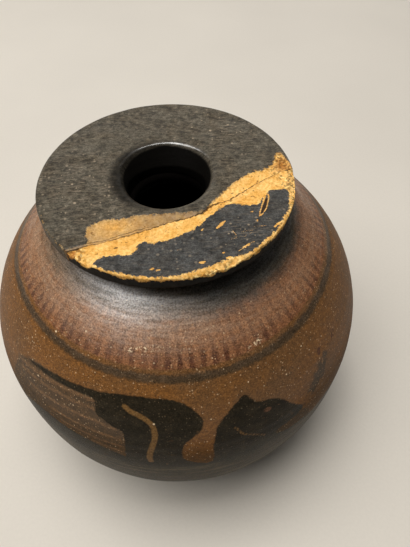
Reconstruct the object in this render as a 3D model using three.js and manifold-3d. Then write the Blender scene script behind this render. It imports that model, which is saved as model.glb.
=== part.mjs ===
import * as THREE from 'three';
import { mergeVertices } from 'three/addons/utils/BufferGeometryUtils.js';
import Module from 'manifold-3d';

// A round oil flask of painted earthenware: a hollow thrown globe, a flat disc mouth on a short
// neck, and a strap handle at the back. The front of the disc was broken off and set back.
// Millimetres, +Z up. The origin is the centre of the flat that the flask rests on.

// Globe
const globeRadius = 58;
const crownHeight = 50.2;
const bellyDepth = 53.9;
const restRadius = 21;
const wall = 5;
const floorThickness = 6.5;
const crownPower = 2.07;
const bellyPower = 2.5;

// Shoulder, drawn in a little where the neck stands on it
const shoulderDip = 2.3;
const shoulderShare = 0.5;

// Mouth: neck, rolled lip and flat disc, thrown as one piece and set slightly to one side
const mouthShift = -0.84;
const boreRadius = 10.5;
const neckRadius = 14.2;
const neckHeight = 2.6;
const neckFillet = 1.2;
const lipWidth = 3.2;
const lipDepth = 2.6;
const discRadius = 33.7;
const rimThickness = 3.8;
const rootThickness = 4.2;
const edgeRound = 0.6;

// Mended break across the front of the disc
const filmThickness = 0.4;
const spallDepth = 0.5;
const chipDepth = 1.1;
const spallSlopeShare = 0.3;
const chipSlopeShare = 0.95;
const featherLift = 0.05;

// Strap handle, lapped under the back of the disc, with a section between an oval and a box
const strapWidth = 17;
const strapThickness = 3;
const strapLap = 4.5;
const strapReach = 12;
const strapDrop = 4;
const strapBow = 4;
const footFlareShare = 0.25;
const flarePower = 4;
const waistShare = 0.14;
const footShare = 0.82;
const sectionPower = 2.6;

// Slip that lutes the thrown and pulled pieces together
const slipThickness = 0.6;
const slipSpread = 0.4;
const lowerHalfShare = 0.5;
const filletWidth = 2.6;

// Fit between pieces, the length that every cut runs past what it cuts, the least edge kept,
// and how near two corners lie when they are one
const seatGap = 0.3;
const overrun = 1;
const sliver = 0.02;
const weldDistance = 1e-5;

// Roundness of the revolved pieces and the strap
const turnSteps = 60;
const crownSteps = 13;
const bellySteps = 9;
const arcSteps = 5;
const cornerSteps = 2;
const filletSteps = 3;
const strapSteps = 16;
const sectionSteps = 16;

const wasm = await Module();
wasm.setup();

// Solid and mesh helpers

function weld(geometry) {
  const bare = geometry.index ? geometry.toNonIndexed() : geometry.clone();
  for (const name of Object.keys(bare.attributes)) {
    if (name !== 'position') bare.deleteAttribute(name);
  }
  const merged = mergeVertices(bare, weldDistance);
  const corners = merged.index.array;
  const kept = [];
  for (let i = 0; i < corners.length; i += 3) {
    const [a, b, c] = [corners[i], corners[i + 1], corners[i + 2]];
    if (a !== b && b !== c && c !== a) kept.push(a, b, c);
  }
  merged.setIndex(kept);
  return merged;
}

function toSolid(geometry) {
  const welded = weld(geometry);
  return new wasm.Manifold(new wasm.Mesh({
    numProp: 3,
    vertProperties: new Float32Array(welded.attributes.position.array),
    triVerts: new Uint32Array(welded.index.array),
  }));
}

// A cut solid back as a geometry, with the slivers that cuts leave along their edges closed up
function toGeometry(solid) {
  const mesh = solid.asOriginal().simplify(sliver).getMesh();
  const geometry = new THREE.BufferGeometry();
  geometry.setAttribute('position', new THREE.BufferAttribute(new Float32Array(mesh.vertProperties), 3));
  geometry.setIndex(new THREE.BufferAttribute(new Uint32Array(mesh.triVerts), 1));
  geometry.computeVertexNormals();
  return geometry;
}

// A profile of (radius, height) points, turned round the Z axis
function revolve(profile) {
  return weld(new THREE.LatheGeometry(profile, turnSteps).rotateX(Math.PI / 2));
}

// A plan outline raised into a prism between two heights
function prism(outline, low, high) {
  const rise = { depth: high - low, bevelEnabled: false };
  const geometry = new THREE.ExtrudeGeometry(new THREE.Shape(outline), rise);
  return geometry.translate(0, 0, low);
}

// A closed skin through rings of points, all with the same count, with a flat cap at each end
function loft(rings) {
  const count = rings[0].length;
  const positions = rings.flat().flatMap((point) => [point.x, point.y, point.z]);
  const faces = [];
  for (let ring = 0; ring + 1 < rings.length; ring += 1) {
    for (let k = 0; k < count; k += 1) {
      const a = ring * count + k;
      const b = ring * count + ((k + 1) % count);
      faces.push(a, b, b + count, a, b + count, a + count);
    }
  }
  const last = (rings.length - 1) * count;
  for (let k = 1; k + 1 < count; k += 1) {
    faces.push(0, k + 1, k);
    faces.push(last, last + k, last + k + 1);
  }
  const geometry = new THREE.BufferGeometry();
  geometry.setAttribute('position', new THREE.Float32BufferAttribute(positions, 3));
  geometry.setIndex(faces);
  return geometry;
}

// Elliptic quarter round from one angle to another about a centre
function quarter(centreRadius, centreHeight, reach, rise, from, to, steps) {
  const points = [];
  for (let i = 0; i <= steps; i += 1) {
    const angle = THREE.MathUtils.degToRad(from + ((to - from) * i) / steps);
    points.push(new THREE.Vector2(
      centreRadius + reach * Math.cos(angle),
      centreHeight + rise * Math.sin(angle),
    ));
  }
  return points;
}

// Globe surface, with heights counted from its equator

const shoulderRadius = globeRadius * shoulderShare;
const seatRadius = neckRadius + Math.abs(mouthShift);

function dip(radius) {
  return shoulderDip * (1 - THREE.MathUtils.smoothstep(radius, neckRadius, shoulderRadius));
}

function fullness(share, power) {
  return (1 - share ** power) ** (1 / power);
}

// Height of the crown at a radius, grown outwards evenly by a given amount
function crownAt(radius, growth) {
  const share = Math.min(radius / (globeRadius + growth), 1);
  return (crownHeight + growth) * fullness(share, crownPower) - dip(radius);
}

// Points up the crown from the equator to the height over a given radius
function crownLine(toRadius, growth) {
  const reach = globeRadius + growth;
  const lastAngle = Math.acos((toRadius / reach) ** (crownPower / 2));
  const points = [];
  for (let i = 0; i <= crownSteps; i += 1) {
    const angle = (lastAngle * i) / crownSteps;
    const radius = reach * Math.cos(angle) ** (2 / crownPower);
    points.push(new THREE.Vector2(radius, crownAt(radius, growth)));
  }
  return points;
}

// Points up the belly from a radius near its foot to the equator
function bellyLine(fromRadius, growth) {
  const reach = globeRadius + growth;
  const depth = bellyDepth + growth;
  const firstAngle = Math.acos((fromRadius / reach) ** (bellyPower / 2));
  const points = [];
  for (let i = 0; i < bellySteps; i += 1) {
    const angle = firstAngle * (1 - i / bellySteps);
    points.push(new THREE.Vector2(
      reach * Math.cos(angle) ** (2 / bellyPower),
      -depth * Math.sin(angle) ** (2 / bellyPower),
    ));
  }
  return points;
}

const equatorHeight = bellyDepth * fullness(restRadius / globeRadius, bellyPower);
const floorHeight = floorThickness - equatorHeight;
const floorRadius = (globeRadius - wall) * fullness(-floorHeight / (bellyDepth - wall), bellyPower);
const seatHeight = crownAt(seatRadius, 0);

// Mouth sizes that follow from the neck and the seat

const footHeight = seatHeight + seatGap;
const discTop = footHeight + neckHeight + rootThickness;
const rimUnderside = discTop - rimThickness;
const rootUnderside = discTop - rootThickness;
const lipRadius = boreRadius + lipWidth;

// Globe: outside from the rest up to the seat, then down the throat and round the hollow inside
function globeSolid() {
  const outside = [...bellyLine(restRadius, 0), ...crownLine(seatRadius, 0)];
  const inside = [...bellyLine(floorRadius, -wall), ...crownLine(boreRadius, -wall)].reverse();
  return revolve([
    new THREE.Vector2(0, -equatorHeight),
    ...outside,
    new THREE.Vector2(boreRadius, seatHeight),
    ...inside,
    new THREE.Vector2(0, floorHeight),
  ]);
}

// Whole mouth before it broke
function mouthSolid() {
  const lip = quarter(lipRadius, discTop - lipDepth, lipWidth, lipDepth, 180, 90, arcSteps);
  const rimCentre = discRadius - edgeRound;
  const upperEdge = quarter(rimCentre, discTop - edgeRound, edgeRound, edgeRound, 90, 0, cornerSteps);
  const lowerEdge = quarter(rimCentre, rimUnderside + edgeRound, edgeRound, edgeRound, 0, -90, cornerSteps);
  const filletRadius = neckRadius + neckFillet;
  const fillet = quarter(filletRadius, rootUnderside - neckFillet, neckFillet, neckFillet, 90, 180, arcSteps);
  const foot = new THREE.Vector2(boreRadius, footHeight);
  const profile = [
    foot,
    new THREE.Vector2(neckRadius, footHeight),
    ...fillet.reverse(),
    ...lowerEdge.reverse(),
    ...upperEdge.reverse(),
    ...lip.reverse(),
    foot.clone(),
  ];
  return toSolid(revolve(profile));
}

// Break line across the disc, left to right, in shares of the disc's radius
const breakShares = [
  [-0.82, -0.715], [-0.62, -0.66], [-0.44, -0.62], [-0.3, -0.58], [-0.15, -0.535], [0, -0.48],
  [0.15, -0.445], [0.24, -0.415], [0.3, -0.355], [0.36, -0.325], [0.445, -0.3], [0.56, -0.225],
  [0.68, -0.14], [0.8, -0.07], [0.89, -0.025], [1.1, 0.045],
];

// Depth of the break behind or before the axis at a place across the disc
function breakAt(across) {
  const last = breakShares.length - 1;
  let k = 1;
  while (k < last && breakShares[k][0] < across) k += 1;
  const [x0, y0] = breakShares[k - 1];
  const [x1, y1] = breakShares[k];
  return y0 + ((y1 - y0) * (across - x0)) / (x1 - x0);
}

// The break line on the disc, moved squarely back from the break by a distance
function breakLine(back) {
  const line = breakShares.map(([x, y]) => new THREE.Vector2(x, y).multiplyScalar(discRadius));
  return line.map((point, k) => {
    const before = line[Math.max(k - 1, 0)];
    const after = line[Math.min(k + 1, line.length - 1)];
    const run = new THREE.Vector2().subVectors(after, before).normalize();
    return new THREE.Vector2(point.x - run.y * back, point.y + run.x * back);
  });
}

// Plan field in front of the break line, raised through the whole disc
function frontField(back) {
  const side = discRadius + overrun;
  const line = breakLine(back);
  const corners = [new THREE.Vector2(line.at(-1).x, -side), new THREE.Vector2(line[0].x, -side)];
  return toSolid(prism([...line, ...corners].reverse(), footHeight - overrun, discTop + overrun));
}

// Feathered flake scar: deepest along one plan line, running out to nothing along the other
function flake(deepLine, featherLine, slopeShare, depthLimit) {
  const rings = deepLine.map((deep, k) => {
    const run = new THREE.Vector2().subVectors(featherLine[k], deep);
    const width = run.length();
    const depth = Math.min(width * slopeShare, depthLimit);
    const outer = deep.clone().addScaledVector(run, -overrun / width);
    const toe = featherLine[k].clone().addScaledVector(run, featherLift / depth);
    return [
      new THREE.Vector3(outer.x, outer.y, discTop - depth - (depth * overrun) / width),
      new THREE.Vector3(toe.x, toe.y, discTop + featherLift),
      new THREE.Vector3(toe.x, toe.y, discTop + overrun),
      new THREE.Vector3(outer.x, outer.y, discTop + overrun),
    ];
  });
  return toSolid(loft(rings));
}

// Rows of [place across on the break, then the feather edge's x and y], in shares of the radius
const leftSpallShares = [
  [-0.67, -0.665, -0.645], [-0.6, -0.6, -0.52], [-0.53, -0.53, -0.445], [-0.42, -0.42, -0.42],
  [-0.3, -0.3, -0.415], [-0.15, -0.15, -0.395], [0, 0, -0.395], [0.13, 0.13, -0.4], [0.24, 0.235, -0.385],
];
const rightSpallShares = [
  [0.32, 0.33, -0.315], [0.39, 0.37, -0.25], [0.47, 0.445, -0.18], [0.56, 0.52, -0.125],
  [0.65, 0.6, -0.085], [0.73, 0.645, -0.02], [0.8, 0.71, 0.03], [0.86, 0.8, 0.065],
  [0.92, 0.87, 0.11], [0.98, 0.895, 0.2], [1.06, 0.97, 0.26],
];
const sherdSpallShares = [
  [-0.73, -0.65, -0.8], [-0.62, -0.52, -0.805], [-0.5, -0.445, -0.755], [-0.36, -0.3, -0.765],
  [-0.26, -0.22, -0.7], [-0.17, -0.16, -0.655], [-0.06, -0.045, -0.625], [0.06, 0.06, -0.615],
  [0.18, 0.18, -0.565], [0.27, 0.27, -0.495], [0.36, 0.36, -0.42], [0.45, 0.45, -0.355],
  [0.56, 0.56, -0.33], [0.68, 0.68, -0.3], [0.8, 0.77, -0.215], [0.89, 0.845, -0.215],
  [1.03, 0.9, -0.24],
];

// Rows of [angle round the rim in degrees, inner edge of the chip as a share of the radius]
const chipShares = [
  [-11, 0.925], [-19, 0.942], [-27, 0.975], [-35, 0.968], [-43, 0.972], [-51, 0.966], [-59, 0.97],
  [-67, 0.945], [-75, 0.958], [-83, 0.947], [-92, 0.968], [-107, 0.974], [-117, 0.98], [-127, 0.965],
  [-135, 0.975],
];

function spall(rowShares, back) {
  const deep = rowShares.map(([x]) => new THREE.Vector2(x * discRadius, breakAt(x) * discRadius + back));
  const feather = rowShares.map(([, x, y]) => new THREE.Vector2(x * discRadius, y * discRadius));
  if (back < 0) [deep, feather].forEach((line) => line.reverse());
  return flake(deep, feather, spallSlopeShare, spallDepth);
}

function rimChip() {
  const onCircle = (degrees, radius) => {
    const angle = THREE.MathUtils.degToRad(degrees);
    return new THREE.Vector2(radius * Math.cos(angle), radius * Math.sin(angle));
  };
  const deep = chipShares.map(([degrees]) => onCircle(degrees, discRadius));
  const feather = chipShares.map(([degrees, share]) => onCircle(degrees, discRadius * share));
  return flake(deep.reverse(), feather.reverse(), chipSlopeShare, chipDepth);
}

const breakHalf = filmThickness / 2 + seatGap;

function brokenMouth(whole) {
  return whole
    .subtract(frontField(breakHalf))
    .subtract(spall(leftSpallShares, breakHalf))
    .subtract(spall(rightSpallShares, breakHalf));
}

function rimSherd(whole) {
  return whole
    .intersect(frontField(-breakHalf))
    .subtract(spall(sherdSpallShares, -breakHalf))
    .subtract(rimChip());
}

// Film of adhesive in the break, kept below the flaked edges and inside the rim's round
function mendingFilm() {
  const outline = [...breakLine(-filmThickness / 2), ...breakLine(filmThickness / 2).reverse()];
  const strip = toSolid(prism(outline, rimUnderside + seatGap, discTop - spallDepth - seatGap));
  return strip.intersect(insideRim());
}

// Upright cylinder round the disc's axis, past both its faces and inside the round of its rim
function insideRim() {
  const low = rootUnderside - overrun;
  const high = discTop + overrun;
  const radius = discRadius - edgeRound;
  return toSolid(revolve([
    new THREE.Vector2(0, low),
    new THREE.Vector2(radius, low),
    new THREE.Vector2(radius, high),
    new THREE.Vector2(0, high),
  ]));
}

// Ring of slip round the foot of the neck, lying on the shoulder
function neckLuting() {
  const inner = neckRadius + seatGap;
  const outer = inner + filletWidth;
  const top = rootUnderside - neckFillet - seatGap / 2;
  const shift = Math.abs(mouthShift);
  const bedAt = (radius) => (radius < seatRadius + shift ? seatHeight : crownAt(radius - shift, 0)) + seatGap;
  const bed = [];
  for (let i = 0; i <= filletSteps; i += 1) {
    const radius = inner + (filletWidth * i) / filletSteps;
    bed.push(new THREE.Vector2(radius, bedAt(radius)));
  }
  const toe = bedAt(outer) + seatGap;
  const hollow = quarter(outer, top, filletWidth, top - toe, 270, 180, filletSteps);
  return revolve([...bed, ...hollow, bed[0].clone()]);
}

// Handle: a flat strap from under the back of the disc, out and down to the shoulder
const slipTop = seatGap + slipThickness;
const strapLevel = rimUnderside - slipTop - seatGap - strapThickness / 2;
const footReach = globeRadius * footShare;
const strapPath = new THREE.CubicBezierCurve3(
  new THREE.Vector3(0, discRadius - strapLap, strapLevel),
  new THREE.Vector3(0, discRadius + strapReach, strapLevel),
  new THREE.Vector3(0, footReach + strapBow, strapLevel - strapDrop),
  new THREE.Vector3(0, footReach, crownAt(footReach, 0) - overrun),
);

// The strap from a share of its length down to its foot, grown by an amount
function strap(fromShare, growth) {
  const rings = [];
  for (let i = 0; i <= strapSteps; i += 1) {
    const along = fromShare + ((1 - fromShare) * i) / strapSteps;
    const centre = strapPath.getPointAt(along);
    const tangent = strapPath.getTangentAt(along);
    const outward = new THREE.Vector3(0, -tangent.z, tangent.y).negate();
    const waist = 1 - waistShare * Math.sin(Math.PI * along);
    const flare = 1 + footFlareShare * along ** flarePower;
    const halfWidth = (strapWidth / 2) * waist * flare + growth;
    const halfThickness = (strapThickness / 2) * flare + growth;
    const ring = [];
    for (let k = 0; k < sectionSteps; k += 1) {
      const angle = (2 * Math.PI * k) / sectionSteps;
      const [c, s] = [Math.cos(angle), Math.sin(angle)];
      const across = Math.sign(c) * Math.abs(c) ** (2 / sectionPower) * halfWidth;
      const through = Math.sign(s) * Math.abs(s) ** (2 / sectionPower) * halfThickness;
      ring.push(new THREE.Vector3(across, 0, 0).add(centre).addScaledVector(outward, through));
    }
    rings.push(ring);
  }
  return toSolid(loft(rings));
}

// Crown filled solid and grown by an amount, for cutting what lands on the shoulder
function crownSolid(growth) {
  const low = -overrun;
  return toSolid(revolve([
    new THREE.Vector2(0, low),
    new THREE.Vector2(globeRadius + growth, low),
    ...crownLine(seatRadius, growth),
    new THREE.Vector2(0, crownAt(seatRadius, growth)),
  ]));
}

function strapHandle() {
  return strap(0, 0).subtract(crownSolid(slipTop + seatGap));
}

// Slip pressed between the lapped end of the strap and the disc, out to the round of the rim
function handleRimLuting() {
  const reach = discRadius - edgeRound;
  const halfWidth = strapWidth / 2;
  const back = Math.sqrt(reach ** 2 - (halfWidth + Math.abs(mouthShift)) ** 2);
  const front = discRadius - strapLap;
  const outline = [
    new THREE.Vector2(-halfWidth, front),
    new THREE.Vector2(halfWidth, front),
    new THREE.Vector2(halfWidth, back),
    new THREE.Vector2(-halfWidth, back),
  ];
  const top = rimUnderside - seatGap;
  return prism(outline, top - slipThickness, top);
}

// Slip squeezed out round the strap's foot, where its lower half meets the shoulder
function handleFootLuting() {
  return strap(lowerHalfShare, slipSpread)
    .intersect(crownSolid(slipTop))
    .subtract(crownSolid(seatGap));
}

// Finishes
const paintedClay = { color: 0x6e4a30, roughness: 0.55, metalness: 0 };
const darkSlip = { color: 0x2b2926, roughness: 0.5, metalness: 0 };
const glue = { color: 0x6a4a22, roughness: 0.4, metalness: 0 };

function piece(name, geometry, finish) {
  const mesh = new THREE.Mesh(geometry, new THREE.MeshStandardMaterial(finish));
  mesh.name = name;
  return mesh;
}

const whole = mouthSolid();

const mouthGroup = new THREE.Group();
mouthGroup.position.x = mouthShift;
mouthGroup.add(piece('disc_mouth', toGeometry(brokenMouth(whole)), darkSlip));
mouthGroup.add(piece('rim_sherd', toGeometry(rimSherd(whole)), darkSlip));
mouthGroup.add(piece('mending_film', toGeometry(mendingFilm()), glue));
mouthGroup.add(piece('neck_luting', neckLuting(), darkSlip));

const flask = new THREE.Group();
flask.position.z = equatorHeight;
flask.add(piece('globe', globeSolid(), paintedClay));
flask.add(mouthGroup);
flask.add(piece('strap_handle', toGeometry(strapHandle()), darkSlip));
flask.add(piece('handle_rim_luting', handleRimLuting(), darkSlip));
flask.add(piece('handle_foot_luting', toGeometry(handleFootLuting()), darkSlip));

const part = new THREE.Group();
part.add(flask);

export default part;
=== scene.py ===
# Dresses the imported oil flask: a thrown globe painted with bands and a winged animal, a disc mouth
# with its front broken off and set back, and a strap handle at the back.
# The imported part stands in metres, +Z up, on the floor. Sizes in the code are worked in millimetres.
import math

import bpy
import numpy as np
from bpy.props import FloatProperty, FloatVectorProperty, IntProperty, PointerProperty
from mathutils import Matrix, Vector


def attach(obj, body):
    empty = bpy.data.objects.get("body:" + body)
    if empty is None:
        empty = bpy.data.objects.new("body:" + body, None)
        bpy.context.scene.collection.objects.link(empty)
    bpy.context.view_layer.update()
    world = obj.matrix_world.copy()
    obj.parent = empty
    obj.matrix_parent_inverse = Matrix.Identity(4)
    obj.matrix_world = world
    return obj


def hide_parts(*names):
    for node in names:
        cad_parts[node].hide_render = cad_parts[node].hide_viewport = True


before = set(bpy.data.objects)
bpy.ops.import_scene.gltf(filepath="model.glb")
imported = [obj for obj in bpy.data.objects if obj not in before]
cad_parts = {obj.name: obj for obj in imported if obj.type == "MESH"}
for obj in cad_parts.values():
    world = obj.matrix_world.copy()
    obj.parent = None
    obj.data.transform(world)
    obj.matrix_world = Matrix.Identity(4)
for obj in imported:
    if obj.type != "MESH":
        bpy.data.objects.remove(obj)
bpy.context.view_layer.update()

bl_info = {
    "name": "Painted oil flask",
    "version": (1, 0, 0),
    "blender": (4, 5, 0),
    "location": "3D View > Sidebar > Flask",
    "description": "Throws, paints, mends and lights a round oil flask with a disc mouth",
    "category": "Add Mesh",
}

MM = 0.001


# Sizes and colours

def length(name, description, millimetres):
    """A length that a user may change, kept in metres."""
    return FloatProperty(name=name, description=description, default=millimetres * MM, unit="LENGTH", precision=5)


def shade(name, description, colour):
    """A colour that a user may change."""
    return FloatVectorProperty(
        name=name, description=description, default=colour, subtype="COLOR", size=3, min=0, max=1)


class FlaskSizes(bpy.types.PropertyGroup):
    """Sizes of the flask"""
    globe_radius: length("Globe radius", "Half the width of the globe", 58)
    crown_height: length("Crown height", "From the equator to the top of the full curve", 50.2)
    belly_depth: length("Belly depth", "From the equator to the bottom of the full curve", 53.9)
    rest_radius: length("Rest radius", "Radius of the flat that the flask stands on", 21)
    wall: length("Wall", "Thickness of the thrown wall", 5)
    floor_thickness: length("Floor thickness", "Clay left under the hollow", 6.5)
    shoulder_dip: length("Shoulder dip", "How far the shoulder is drawn in under the neck", 2.3)
    mouth_shift: length("Mouth shift", "How far the mouth stands to the side of the globe's axis", -0.84)
    bore_radius: length("Bore radius", "Radius of the hole through the neck", 10.5)
    neck_radius: length("Neck radius", "Outer radius of the neck", 14.2)
    neck_height: length("Neck height", "From the foot of the neck to the disc", 2.6)
    neck_fillet: length("Neck fillet", "Hollow between neck and disc", 1.2)
    lip_width: length("Lip width", "Mean breadth of the round where the disc turns into the bore", 3.2)
    lip_depth: length("Lip depth", "Depth of that round", 2.6)
    lip_sway: length("Lip sway", "How far the round is wider at the back left than at the front right", 1.2)
    disc_radius: length("Disc radius", "Radius of the disc mouth", 33.7)
    rim_thickness: length("Rim thickness", "Height of the disc at its rim", 3.8)
    root_thickness: length("Root thickness", "Height of the disc at the neck", 4.2)
    edge_round: length("Edge round", "Round of the rim's edges", 0.6)
    strap_width: length("Strap width", "Breadth of the handle", 17)
    strap_thickness: length("Strap thickness", "Thickness of the handle", 3)
    strap_lap: length("Strap lap", "How far the handle laps under the disc", 4.5)
    strap_reach: length("Strap reach", "How far the handle pulls straight out", 12)
    strap_drop: length("Strap drop", "Where the handle turns down", 4)
    strap_bow: length("Strap bow", "How far the handle bows out over its foot", 4)
    slip_thickness: length("Slip thickness", "Slip between handle and disc", 0.6)
    seat_gap: length("Seat gap", "Room that the packed pieces leave between each other", 0.3)
    break_gap: length("Break gap", "Width of the mended break", 0.16)
    film_width: length("Film width", "Width of the adhesive in the break", 0.12)
    spall_depth: length("Spall depth", "Depth of the flakes lost along the break", 0.45)
    chip_depth: length("Chip depth", "Depth of the chips along the rim of the sherd", 0.9)
    turn_steps: IntProperty(name="Turn steps", description="Facets round the globe", default=480, min=24)
    grit_count: IntProperty(name="Grit", description="Grains of mica in the clay", default=900, min=0)


class FlaskColours(bpy.types.PropertyGroup):
    """Colours of the clay, slips and paint"""
    clay: shade("Clay", "Burnished ochre ground of the frieze", (0.190, 0.078, 0.018))
    clay_red: shade("Red clay", "Ground of the tongue band", (0.275, 0.113, 0.044))
    wash: shade("Wash", "Thin brown paint of the feathers", (0.058, 0.037, 0.019))
    black: shade("Black", "Thick dark paint", (0.018, 0.014, 0.008))
    glaze: shade("Glaze", "Dark grey glaze of the lower body and the neck", (0.026, 0.021, 0.011))
    red: shade("Added red", "Dark red paint of the tongues and dabs", (0.085, 0.027, 0.011))
    mica: shade("Mica", "Bright grains in the clay", (0.78, 0.60, 0.38))
    slip: shade("Slip", "Brushed slip on the disc", (0.089, 0.077, 0.057))
    sherd: shade("Sherd slip", "Smooth slip on the sherd", (0.057, 0.056, 0.053))
    paste: shade("Paste", "Golden clay bared by flakes and chips", (0.94, 0.56, 0.18))
    ochre: shade("Stained paste", "Bared clay that has grown dull", (0.36, 0.23, 0.11))
    rust: shade("Rust", "Orange stain on bared clay", (0.40, 0.15, 0.03))
    adhesive: shade("Adhesive", "Aged adhesive in the break", (0.07, 0.038, 0.015))
    floor: shade("Floor", "Paper under the flask", (0.70, 0.65, 0.575))
    sky: shade("Room", "Light of the room", (1.0, 0.985, 0.96))


# Tables drawn after the photograph

# Break line across the disc, left to right, in shares of the disc's radius
BREAK_SHARES = [
    (-0.82, -0.715), (-0.62, -0.66), (-0.44, -0.62), (-0.3, -0.58), (-0.15, -0.535), (0, -0.48),
    (0.15, -0.445), (0.24, -0.415), (0.3, -0.355), (0.36, -0.325), (0.445, -0.3), (0.56, -0.225),
    (0.68, -0.14), (0.8, -0.07), (0.89, -0.025), (1.1, 0.045),
]

# Bared clay behind the break, in millimetres from the disc's centre
DULL_PATCH = [
    (-20.0, -18.9), (-20.1, -17.9), (-20.0, -17.1), (-19.7, -16.2), (-18.9, -15.2), (-17.6, -14.6),
    (-16.3, -14.2), (-14.4, -14.1), (-12.5, -14.1), (-11.2, -14.0), (-9.8, -13.8), (-8.2, -13.4),
    (-6.6, -13.2), (-4.4, -13.3), (-1.0, -13.5), (2.7, -13.4), (6.4, -13.3), (8.9, -13.2),
    (9.5, -13.9), (7.2, -17.8), (2.3, -19.9), (-4.9, -21.7), (-11.9, -23.5), (-17.4, -23.6),
    (-20.1, -23.0), (-19.8, -21.2), (-19.3, -20.3),
]
GOLD_PATCH = [
    (9.2, -12.5), (10.0, -11.5), (12.0, -9.5), (13.7, -7.6), (15.3, -5.7), (17.4, -3.8),
    (19.6, -2.1), (21.9, -0.5), (23.5, 0.2), (25.6, 0.4), (27.2, 1.2), (28.3, 2.2), (29.3, 3.7),
    (29.6, 5.8), (30.7, 6.9), (31.9, 6.5), (32.3, 5.0), (32.9, 3.3), (34.0, 0.7), (36.1, -3.3),
    (33.7, -8.5), (25.7, -9.5), (17.7, -12.3), (11.2, -14.8),
]

# Slip that is left on the sherd, in millimetres from the disc's centre
SHERD_SLIP = [
    (-17.8, -27.3), (-17.4, -26.7), (-15.9, -25.7), (-13.7, -25.6), (-10.9, -25.9), (-9.4, -25.9),
    (-8.6, -25.0), (-7.6, -23.4), (-7.0, -22.1), (-6.0, -22.0), (-4.9, -23.1), (-3.8, -22.9),
    (-2.6, -22.4), (-0.2, -22.2), (2.2, -20.9), (4.6, -19.9), (7.8, -17.8), (8.6, -16.2),
    (10.3, -15.0), (11.8, -13.7), (13.1, -12.6), (14.6, -11.8), (16.3, -11.6), (17.9, -12.1),
    (19.2, -12.6), (20.9, -12.4), (22.6, -12.4), (24.1, -9.9), (25.8, -7.8), (27.1, -7.6),
    (29.4, -7.6), (30.5, -7.9), (30.5, -9.8), (30.0, -11.8), (30.1, -13.8), (29.5, -15.3),
    (28.1, -16.7), (27.3, -18.1), (25.5, -21.0), (23.8, -23.0), (22.0, -24.5), (19.8, -26.4),
    (17.8, -27.9), (15.6, -28.7), (13.6, -28.8), (12.5, -29.3), (10.4, -30.1), (8.5, -30.9),
    (6.0, -31.6), (3.7, -32.2), (0.5, -32.9), (-1.9, -33.1), (-4.9, -32.9), (-7.6, -32.3),
    (-10.2, -31.5), (-12.5, -30.7), (-14.9, -29.8), (-16.4, -28.9), (-17.7, -28.0),
]

# Bright spots on the sherd: place and half sizes, in millimetres, then the turn in degrees
SHERD_SPOTS = [
    (12.2, -18.5, 1.5, 0.42, 43), (16.9, -26.2, 1.1, 0.13, 31), (17.7, -25.4, 1.0, 0.12, 26),
    (11.8, -27.3, 0.28, 0.25, 0), (6.6, -29.7, 0.7, 0.34, 4), (12.8, -28.9, 0.5, 0.22, 12),
    (21.1, -18.0, 0.28, 0.22, 40), (26.1, -19.4, 0.5, 0.24, 30), (25.2, -20.2, 0.4, 0.2, 40),
    (-4.7, -30.5, 0.46, 0.28, 12), (-3.4, -31.0, 0.46, 0.22, 12), (1.5, -25.5, 0.2, 0.16, 0),
    (24.5, -12.0, 0.3, 0.12, 80), (20.3, -14.9, 0.3, 0.2, 20), (7.6, -19.6, 0.4, 0.2, 40),
]
SHERD_PITS = [(-12.9, -23.0, 0.6, 0.32, 15), (14.6, -10.2, 0.4, 0.25, 0), (20, -7.3, 0.25, 0.2, 0)]
SHERD_SCRATCHES = [
    [(14, -23.5), (16.5, -22.5)], [(20, -19.9), (23, -19.9)], [(14.6, -20.4), (15.4, -22.2)],
    [(16.4, -21.4), (19.6, -21.0)], [(17.2, -22.8), (19.0, -21.8)], [(22, -15.2), (22.8, -14.4)],
]
LEAF_SCAR = [
    (24.7, -8.8), (25.5, -9.3), (24.9, -11.6), (24.1, -13.9), (23.2, -15.4), (22.2, -16.4),
    (21.8, -16.8), (22.2, -15.3), (23.1, -13.1), (24.1, -10.8),
]

# Painted outlines on the globe: degrees round from the front, then millimetres above the equator
WING = [
    (-55, 21.2), (-53, 22.3), (-50, 23.3), (-45, 24.2), (-40, 24.8), (-35, 25.2), (-30, 25.6), (-25, 26),
    (-20, 26.6), (-15, 27), (-10, 26.9), (-5, 26.7), (-2, 26), (0, 25), (2, 23.3), (3.5, 21.5), (4, 20),
    (3.3, 18), (2, 16.5), (0, 14.8), (-1.5, 13.5), (-2.3, 11), (-2.5, 9), (-2.3, 6), (0, 4), (2, 2.5),
    (4, 1.8), (4, -2), (-18, -2), (-17.8, 6), (-17.5, 10), (-17.5, 15), (-18, 16.5), (-20, 17),
    (-22, 17.8), (-24, 18.8), (-26, 19.5), (-26, 23.9), (-30, 23.8), (-35, 23.4), (-40, 22.9),
    (-45, 22.3), (-50, 21.8), (-53, 21.2), (-55, 20.6),
]
BODY = [
    (-62, -4), (-58, 0), (-54, 4), (-50, 7), (-45, 9), (-40, 9.4), (-32, 8.6), (-25, 7.2),
    (-18, 5.4), (-16, 2), (-16, -6), (-78, -6), (-71, 2),
]
HEAD = [
    (5.5, -2), (5.6, 2), (6, 6), (5.8, 10), (6.2, 13), (6.7, 15), (7, 17), (8, 18.5), (9, 19.8),
    (10.5, 21), (12, 22.3), (14, 23.5), (15.5, 24.7), (17, 24), (18, 22.5), (19, 21.5), (21, 20.8),
    (23, 20.5), (25, 19.5), (26.5, 18.5), (28, 16.8), (29.5, 14.8), (31, 13), (32.5, 11.5), (33.8, 10),
    (33.7, 8.7), (32, 7.8), (28, 7.2), (25, 7.0), (23.8, 6.2), (24.4, 4.6), (27, 3.2), (31, 1.4), (31, -2),
]
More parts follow.
